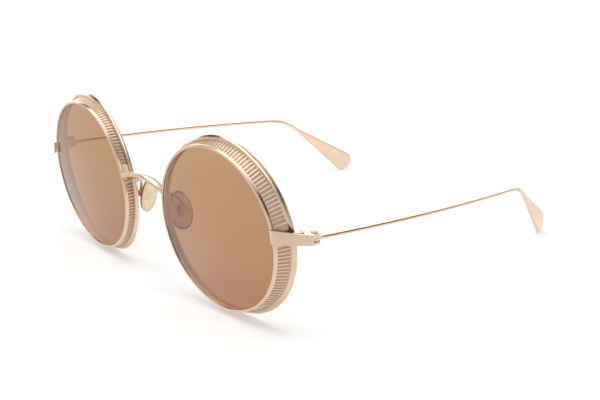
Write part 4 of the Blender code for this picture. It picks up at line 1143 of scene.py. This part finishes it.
def make_screws():
    """Hinge, closing and nose pad screws, each with a driver slot across its head."""
    sizes = chosen("metalwork")
    hinge = hinge_place()
    low = Vector((hinge.x, hinge.y, 0.0))
    flat = closing_plan()[1]
    up_pad, rearward = pad_axes()[:2]
    top = end_top(hinge.y) + TOUCH
    sunk = end_top(flat.y) - CLOSING_RECESS + PIN_CLEARANCE
    hinge_head = (sizes.head_height, sizes.head_radius, 0.12 * MM)
    closing_head = (CLOSING_HEAD_HEIGHT, CLOSING_HEAD, 0.08 * MM)
    pad_head = (PAD_HEAD_HEIGHT, PAD_PIN + PAD_HEAD_OVERHANG, 0.1 * MM)
    hinge_stops = screw_stops(end_bottom(hinge.y) + SEAM, top, PIN_RADIUS, *hinge_head)
    closing_stops = screw_stops(end_bottom(flat.y) + SEAM, sunk, CLOSING_SHANK, *closing_head)
    pad_stops = screw_stops(SEAM - BOX_OUTER, BOX_OUTER + TOUCH, PAD_PIN, *pad_head)
    halves = (2 * MM, sizes.slot_width / 2, sizes.slot_depth)
    for piece, place, axis, stops, across in (
        ("hinge_screw", low, UP, hinge_stops, Vector((0.8, 0.6, 0.0))),
        ("closing_screw", flat, UP, closing_stops, Vector((1.0, 0.0, 0.0))),
        ("pad_screw", pad_pivot(), rearward, pad_stops, up_pad),
    ):

        def build(name, side):
            made = pin(name, place, axis, stops, side, 48)
            axes = (across, across.cross(axis), axis)
            slot = block(place + axis * stops[-1][0], axes, halves, side)
            return shaped(made, cuts=(slot,), late_bevel=0.02 * MM)

        both_sides(piece, build, SCREW_METAL)


def rod_point(along):
    """Centre of the left temple rod from the hinge (0) to the ear bend (1), about the hinge."""
    swell = 4 * along * (1 - along)
    inward = -ROD_INSET * along + ROD_BOW * swell
    return Vector((inward, ROD_LENGTH * along, -ROD_DROP * along + ROD_LIFT * swell))


def rod_direction(along):
    """Unit direction of the rod at that place."""
    return (rod_point(along + 0.001) - rod_point(along - 0.001)).normalized()


def temple_stations():
    """Centre, direction, half width, half thickness and squareness along a temple."""
    sizes = chosen("temples")
    rod = sizes.rod
    thin_end = sizes.paddle_thickness / 2
    wide_end = sizes.paddle_width / 2
    square = sizes.squareness
    stations = []
    first = TONGUE_REACH / ROD_LENGTH - ROD_BITE
    for i in range(61):
        along = first + (EAR_SHARE - first) * i / 60
        stations.append((rod_point(along), rod_direction(along), rod, rod, 2.0))
    start = rod_point(EAR_SHARE)
    end = rod_point(1.0) + PADDLE_START
    level = cos(PADDLE_FALL)
    end_way = Vector((-level * sin(PADDLE_INWARD), level * cos(PADDLE_INWARD), -sin(PADDLE_FALL)))
    pull = (end - start).length * EAR_STIFFNESS
    start_pull, end_pull = rod_direction(EAR_SHARE) * pull, end_way * pull
    for i in range(1, 32):
        t = i / 32
        place = start * (2 * t**3 - 3 * t**2 + 1) + end * (3 * t**2 - 2 * t**3)
        place += start_pull * (t**3 - 2 * t**2 + t) + end_pull * (t**3 - t**2)
        way = start * (6 * t**2 - 6 * t) + end * (6 * t - 6 * t**2)
        way += start_pull * (3 * t**2 - 4 * t + 1) + end_pull * (3 * t**2 - 2 * t)
        wide = rod + (PADDLE_START_HALF - rod) * t**2
        thin = rod + (thin_end - rod) * t**2
        stations.append((place, way.normalized(), wide, thin, 2.0 + (square - 2.0) * t**2))
    for i in range(25):
        place = end + end_way * PADDLE_LENGTH * i / 24
        wide = PADDLE_START_HALF + (wide_end - PADDLE_START_HALF) * i / 24
        stations.append((place, end_way, wide, thin_end, square))
    for i in range(1, 17):
        turn = PADDLE_END_TURN * i / 16
        place = end + end_way * (PADDLE_LENGTH + PADDLE_END_LENGTH * sin(turn))
        stations.append((place, end_way, wide_end * cos(turn), thin_end, square))
    return stations


def oval(centre, along_u, along_v, half_u, half_v, power, steps):
    """Points of a superellipse."""

    def reach(value):
        return abs(value) ** (2 / power) * (1 if value >= 0 else -1)

    turns = [2 * pi * (i + 0.5) / steps for i in range(steps)]
    return [
        centre + along_u * half_u * reach(cos(turn)) + along_v * half_v * reach(sin(turn))
        for turn in turns
    ]


def make_temples():
    """The rod and flat paddle of each temple."""
    hinge = hinge_place()
    rows = []
    for place, way, wide, thin, power in temple_stations():
        upright = (UP - way * way.z).normalized()
        rows.append(oval(hinge + place, upright, way.cross(upright), wide, thin, power, 40))
    both_sides("temple", rows, body="temple_arm", sharp=60.0)


def make_tongues():
    """The flat eye at the front of each temple."""
    hinge = hinge_place()
    way = rod_direction(0.0)
    way = Vector((way.x, way.y, 0.0)).normalized()
    across = Vector((way.y, -way.x, 0.0))
    half_width = chosen("temples").rod
    start = atan(half_width / sqrt(TONGUE_RADIUS**2 - half_width**2))
    turns = [start + (2 * pi - 2 * start) * i / 32 for i in range(33)]
    outline = [(TONGUE_RADIUS * cos(turn), TONGUE_RADIUS * sin(turn)) for turn in turns]
    outline += [(TONGUE_REACH, -half_width), (TONGUE_REACH, half_width)]
    rows = raised(hinge, outline, (way, across, UP), TONGUE_THICKNESS / 2)
    fine = chosen("metalwork").fine_edge

    def build(name, side):
        hole = bore(hinge, UP, TONGUE_THICKNESS, HINGE_HOLE, side, 48)
        return shaped(mesh_object(name, rows, side), fine, cuts=(hole,))

    both_sides("temple_eye", build, body="temple_arm", node="temple_tongue")


def pad_axes():
    """Upward, rearward and nose-facing unit vectors of the left nose pad."""
    rearward = (PAD_REARWARD - PAD_UP * PAD_REARWARD.dot(PAD_UP)).normalized()
    return PAD_UP, rearward, PAD_UP.cross(rearward).normalized()


def pad_pivot():
    """Where the left pad's screw crosses its lug."""
    return rear_edge(180.0) + PAD_FROM_RIM - pad_axes()[2] * LUG_REACH


def make_pads():
    """The soft oval pads, flat behind and gently crowned in front."""
    sizes = chosen("pads")
    up, rearward, face = pad_axes()
    outline = [(scale, -PAD_BACK * depth) for scale, depth in PAD_BACK_EDGE]
    for i in range(1, 22):
        turn = pi / 2 * i / 22
        outline.append((cos(turn) ** (2 / sizes.crown), PAD_FACE * sin(turn) ** (2 / sizes.crown)))
    turns = [2 * pi * i / 72 for i in range(72)]
    rows = []
    for scale, level in outline:
        centre = pad_pivot() + face * (LUG_REACH + level)
        high, wide = up * sizes.half_length * scale, rearward * sizes.half_width * scale
        rows.append(
            [centre + high * cos(t) + wide * (1 - PAD_EGG * cos(t)) * sin(t) for t in turns]
        )
    both_sides("nose_pad", rows, cream_plastic, "pad", sharp=50.0)


def make_lugs():
    """The metal plate and eye behind each pad."""
    fine = chosen("metalwork").fine_edge
    up, rearward, face = pad_axes()
    pivot = pad_pivot()
    plate_front = LUG_REACH - PAD_BACK - TOUCH
    plate_back = plate_front - LUG_PLATE
    middle = (plate_front + plate_back) / 2
    turns = [pi / 2 + pi * i / 24 for i in range(25)]
    outline = [(LUG_EYE * cos(turn), LUG_EYE * sin(turn)) for turn in turns]
    outline += [(middle, -LUG_EYE), (middle, LUG_EYE)]
    rows = raised(pivot, outline, (face, up, rearward), LUG_TAB_HALF)
    levels = (plate_back, plate_front)
    plate_rows = [
        oval(pivot + face * level, up, rearward, *LUG_PLATE_HALVES, 3.4, 48) for level in levels
    ]

    def build(name, side):
        plate = shaped(mesh_object("lug_plate", plate_rows, side), fine)
        hole = bore(pivot, rearward, BOX_OUTER, PAD_HOLE, side)
        return shaped(mesh_object(name, rows, side), fine, cuts=(hole,), joins=(plate,))

    both_sides("pad_lug", build, body="pad")


def make_boxes():
    """The small open box that holds each lug."""
    fine = chosen("metalwork").fine_edge
    up, rearward, face = pad_axes()
    pivot = pad_pivot()
    half = [(BOX_OUTER, BOX_BACK), (BOX_OUTER, BOX_FRONT)]
    half += [(BOX_INNER, BOX_FRONT), (BOX_INNER, BOX_FLOOR)]
    other = [(-across, level) for across, level in reversed(half)]
    corners = [*other[2:], *half, *other[:2]]
    rows = raised(pivot, rounded(corners, BOX_CORNERS, 4), (rearward, face, up), BOX_HALF_HEIGHT)

    def build(name, side):
        hole = bore(pivot, rearward, BOX_OUTER + MM, PAD_HOLE, side)
        return shaped(mesh_object(name, rows, side), fine, cuts=(hole,))

    both_sides("pad_box", build)


def make_arms():
    """The wire from each rear rim, where its flat foot is soldered, to the pad box."""
    radius = rim_radii()[4]
    ring_radius = radius + ARM_FOOT_SEAM + ARM_FOOT_HALF_THICKNESS
    start = 180.0 + degrees(asin(ARM_FOOT_FALL / radius))
    end = 180.0 - degrees(asin(ARM_FOOT_RISE / radius))
    places = []
    for i in range(21):
        angle = start + (end - start) * i / 20
        place = rim_point(angle, ring_radius, REAR_MIDDLE, REAR_OFFSET, REAR_SWING)
        places.append((ARM_FOOT_RUN * i / 20, place))
    first = places[-1][1]
    last = pad_pivot() + PAD_UP * (BOX_HALF_HEIGHT - 5 * TOUCH) + pad_axes()[2] * BOX_FLOOR
    lift = first + ARM_RISE
    fall = last + PAD_UP * ARM_FALL_HEIGHT + ARM_FALL
    for i in range(1, 49):
        t = i / 48
        s = 1 - t
        place = first * s**3 + lift * 3 * s * s * t + fall * 3 * s * t * t + last * t**3
        places.append((ARM_FOOT_RUN + ARM_WIRE_RUN * t, place))
    rows = []
    for i, (stage, place) in enumerate(places):
        way = places[min(i + 1, len(places) - 1)][1] - places[max(i - 1, 0)][1]
        way = way.normalized()
        wire = eased(held((stage - ARM_TURNING[0]) / ARM_TURNING[1]))
        taper = min(1.0, 0.35 + 0.65 * sin(min(1.0, stage / 2) * pi / 2))
        thick = ARM_FOOT_HALF_THICKNESS + (ARM_RADIUS - ARM_FOOT_HALF_THICKNESS) * wire
        wide = ARM_FOOT_HALF_WIDTH * taper * (1 - wire) + ARM_RADIUS * wire
        guide = Vector((1.0, -wire, 0.0)).normalized()
        radial = (guide - way * guide.dot(way)).normalized()
        rows.append(oval(place, radial, way.cross(radial), thick, wide, 2.0, 28))
    both_sides("pad_arm", rows, sharp=50.0)


def make_camera():
    """The camera, where the photograph was taken from."""
    across, ahead = cos(CAMERA_AZIMUTH), sin(CAMERA_AZIMUTH)
    right = Vector((across, ahead, 0.0))
    back = Vector((ahead, -across, 0.0)) * cos(CAMERA_ELEVATION) + UP * sin(CAMERA_ELEVATION)
    up = back.cross(right)
    rolled = right * cos(CAMERA_ROLL) + up * sin(CAMERA_ROLL)
    upright = up * cos(CAMERA_ROLL) - right * sin(CAMERA_ROLL)
    data = bpy.data.cameras.new("Photograph")
    data.lens = CAMERA_LENS
    data.sensor_width = 36.0
    data.clip_start = 0.01
    data.clip_end = 50.0
    camera = bpy.data.objects.new("Photograph", data)
    turn = Matrix((rolled, upright, back)).transposed().to_4x4()
    camera.matrix_world = Matrix.Translation(CAMERA_PLACE) @ turn
    bpy.context.scene.collection.objects.link(camera)
    bpy.context.scene.camera = camera


def rays(recipe, *kinds):
    """1 for rays of these kinds, and 0 for the light that falls on things."""
    return sum(recipe.add("LightPath", output=kind) for kind in kinds).clamped()


def make_floor():
    """The pale table, which keeps the shadow, with a painted pool of light that only reflections
    see.
    """
    studio = chosen("studio")
    half = 3.0
    corners = [(-half, -half, 0), (half, -half, 0), (half, half, 0), (-half, half, 0)]
    mesh = bpy.data.meshes.new("table_top")
    mesh.from_pydata(corners, [], [(0, 1, 2, 3)])
    floor = bpy.data.objects.new("table_top", mesh)
    floor.location.z = -0.05 * MM
    bpy.context.scene.collection.objects.link(floor)
    made = bpy.data.materials.new("Pale table")
    made.use_nodes = True
    recipe = Recipe(made.node_tree)
    grain = recipe.noise(300.0, 3.0)
    away = recipe.vector("DISTANCE", recipe.place(), Vector((0.0, 0.02, 0.0)), "Value")
    # Painted light: a pool of glow, brightest near the middle, that the floor emits only towards
    # glossy rays
    painted_light_pool = recipe.ramp(away * 4.0, (0.1, 0.5), (0.9, 0.08))
    shown = recipe.ramp(away * 0.5, (0.15, studio.floor_glow), (0.45, 1.0))
    mirrored_painted_glow = recipe.mix(rays(recipe, "Is Glossy Ray"), BLACK, painted_light_pool)
    seen = rays(recipe, "Is Camera Ray", "Is Transmission Ray")
    recipe.surface(
        {
            "Base Color": recipe.mix(grain * 0.03, studio.floor, (0.7, 0.7, 0.7)),
            "Roughness": 0.9,
            "Specular IOR Level": 0.1,
            "Emission Color": recipe.mix(seen, mirrored_painted_glow, shown),
            "Emission Strength": 1.0,
        }
    )
    mesh.materials.append(made)


def make_sky():
    """White for whatever looks at it, and a plain soft light for the rest."""
    studio = chosen("studio")
    world = bpy.data.worlds.new("White studio")
    bpy.context.scene.world = world
    world.use_nodes = True
    recipe = Recipe(world.node_tree)
    direction = recipe.add("TexCoord", output="Generated")

    def toned(axis, *stops):
        towards = recipe.vector("DOT_PRODUCT", direction, Vector(axis).normalized(), "Value")
        return recipe.ramp(towards * 0.5 + 0.5, *stops)

    def background(tone, strength):
        return recipe.add("Background", None, {"Color": tone, "Strength": strength})

    tones = toned(*SKY_BASE)
    for glow in SKY_GLOWS:
        tones = recipe.mix(1.0, tones, toned(*glow), "LIGHTEN")
    for strip, limit in SKY_STRIPS:
        glow = recipe.mix(1.0, toned(*strip), toned(*limit), "MULTIPLY")
        tones = recipe.mix(1.0, tones, glow, "LIGHTEN")
    for shade in SKY_SHADES:
        tones = recipe.mix(1.0, tones, toned(*shade), "MULTIPLY")
    falling, shown = background(WHITE, studio.sky), background(WHITE, 1.0)
    plain = rays(recipe, "Is Camera Ray", "Is Transmission Ray")
    light = recipe.add("MixShader", None, {0: plain, 1: falling, 2: shown})
    sockets = {0: rays(recipe, "Is Glossy Ray"), 1: light, 2: background(tones, studio.panels)}
    recipe.add("OutputWorld", None, {"Surface": recipe.add("MixShader", None, sockets)})


def make_lamp(name, place, size, power):
    """A soft rectangular lamp that looks at the middle of the table."""
    data = bpy.data.lights.new(name, "AREA")
    data.shape = "RECTANGLE"
    data.size, data.size_y = size
    data.energy = power
    lamp = bpy.data.objects.new(name, data)
    lamp.location = place
    lamp.visible_glossy = False
    lamp.rotation_euler = (-Vector(place)).to_track_quat("-Z", "Y").to_euler()
    bpy.context.scene.collection.objects.link(lamp)


def make_studio():
    """Floor, sky, lamps and camera."""
    studio = chosen("studio")
    make_camera()
    make_floor()
    make_sky()
    make_lamp("Overhead lamp", (0.1, -0.15, 1.2), (1.0, 0.7), studio.key)
    make_lamp("Side lamp", (-1.0, -0.6, 0.7), (0.5, 0.9), studio.fill)
    bpy.context.scene.view_settings.view_transform = "Standard"


class SUNGLASSES_OT_front_rims(bpy.types.Operator):
    """Builds the smooth rim and groove round each lens"""

    bl_idname = "sunglasses.front_rims"
    bl_label = "Front rims"

    def execute(self, context):
        make_front_rims()
        return {"FINISHED"}


class SUNGLASSES_OT_fluted_bands(bpy.types.Operator):
    """Builds the deep bands with their ridges and panels"""

    bl_idname = "sunglasses.fluted_bands"
    bl_label = "Fluted bands"

    def execute(self, context):
        make_fluted_bands()
        return {"FINISHED"}


class SUNGLASSES_OT_rear_rims(bpy.types.Operator):
    """Builds the rounded rims at the back"""

    bl_idname = "sunglasses.rear_rims"
    bl_label = "Rear rims"

    def execute(self, context):
        make_rear_rims()
        return {"FINISHED"}


class SUNGLASSES_OT_lenses(bpy.types.Operator):
    """Builds the tinted lenses"""

    bl_idname = "sunglasses.lenses"
    bl_label = "Lenses"

    def execute(self, context):
        make_lenses()
        return {"FINISHED"}


class SUNGLASSES_OT_bridge(bpy.types.Operator):
    """Builds the arched bar between the rims"""

    bl_idname = "sunglasses.bridge"
    bl_label = "Bridge"

    def execute(self, context):
        make_bridge()
        return {"FINISHED"}


class SUNGLASSES_OT_end_pieces(bpy.types.Operator):
    """Builds the end pieces and closing blocks"""

    bl_idname = "sunglasses.end_pieces"
    bl_label = "End pieces"

    def execute(self, context):
        make_end_pieces()
        make_closing_blocks()
        return {"FINISHED"}


class SUNGLASSES_OT_screws(bpy.types.Operator):
    """Builds the hinge, closing and nose pad screws"""

    bl_idname = "sunglasses.screws"
    bl_label = "Screws"

    def execute(self, context):
        make_screws()
        return {"FINISHED"}


class SUNGLASSES_OT_temples(bpy.types.Operator):
    """Builds the rods, paddles and hinge eyes"""

    bl_idname = "sunglasses.temples"
    bl_label = "Temples"

    def execute(self, context):
        make_temples()
        make_tongues()
        return {"FINISHED"}


class SUNGLASSES_OT_nose_pads(bpy.types.Operator):
    """Builds the soft pads and the lugs behind them"""

    bl_idname = "sunglasses.nose_pads"
    bl_label = "Nose pads"

    def execute(self, context):
        make_pads()
        make_lugs()
        return {"FINISHED"}


class SUNGLASSES_OT_pad_holders(bpy.types.Operator):
    """Builds the pad arms and boxes"""

    bl_idname = "sunglasses.pad_holders"
    bl_label = "Pad holders"

    def execute(self, context):
        make_arms()
        make_boxes()
        return {"FINISHED"}


class SUNGLASSES_OT_studio(bpy.types.Operator):
    """Sets up floor, sky, lamps and camera"""

    bl_idname = "sunglasses.studio"
    bl_label = "Studio"

    def execute(self, context):
        make_studio()
        return {"FINISHED"}


OPERATORS = (
    SUNGLASSES_OT_front_rims,
    SUNGLASSES_OT_fluted_bands,
    SUNGLASSES_OT_rear_rims,
    SUNGLASSES_OT_lenses,
    SUNGLASSES_OT_bridge,
    SUNGLASSES_OT_end_pieces,
    SUNGLASSES_OT_screws,
    SUNGLASSES_OT_temples,
    SUNGLASSES_OT_nose_pads,
    SUNGLASSES_OT_pad_holders,
    SUNGLASSES_OT_studio,
)


class SUNGLASSES_PT_sidebar(bpy.types.Panel):
    """Sizes, finishes and the steps that build each group"""

    bl_label = "Sunglasses"
    bl_space_type = "VIEW_3D"
    bl_region_type = "UI"
    bl_category = "Sunglasses"

    def draw(self, context):
        for step in OPERATORS:
            self.layout.operator(step.bl_idname)
        for name, group in GROUPS.items():
            fields = self.layout.box()
            fields.label(text=group.__doc__)
            for field in group.__annotations__:
                fields.prop(getattr(context.scene, name), field)


def register():
    """Make the settings, operators and panel known to Blender."""
    for name, group in GROUPS.items():
        bpy.utils.register_class(group)
        setattr(bpy.types.Scene, name, bpy.props.PointerProperty(type=group))
    for kind in (*OPERATORS, SUNGLASSES_PT_sidebar):
        bpy.utils.register_class(kind)


def unregister():
    """Take them away again."""
    for kind in (SUNGLASSES_PT_sidebar, *reversed(OPERATORS)):
        bpy.utils.unregister_class(kind)
    for name, group in reversed(GROUPS.items()):
        delattr(bpy.types.Scene, name)
        bpy.utils.unregister_class(group)


def main():
    """Build everything."""
    register()
    for step in OPERATORS:
        getattr(bpy.ops.sunglasses, step.bl_idname.split(".")[1])()


if __name__ == "__main__":
    main()
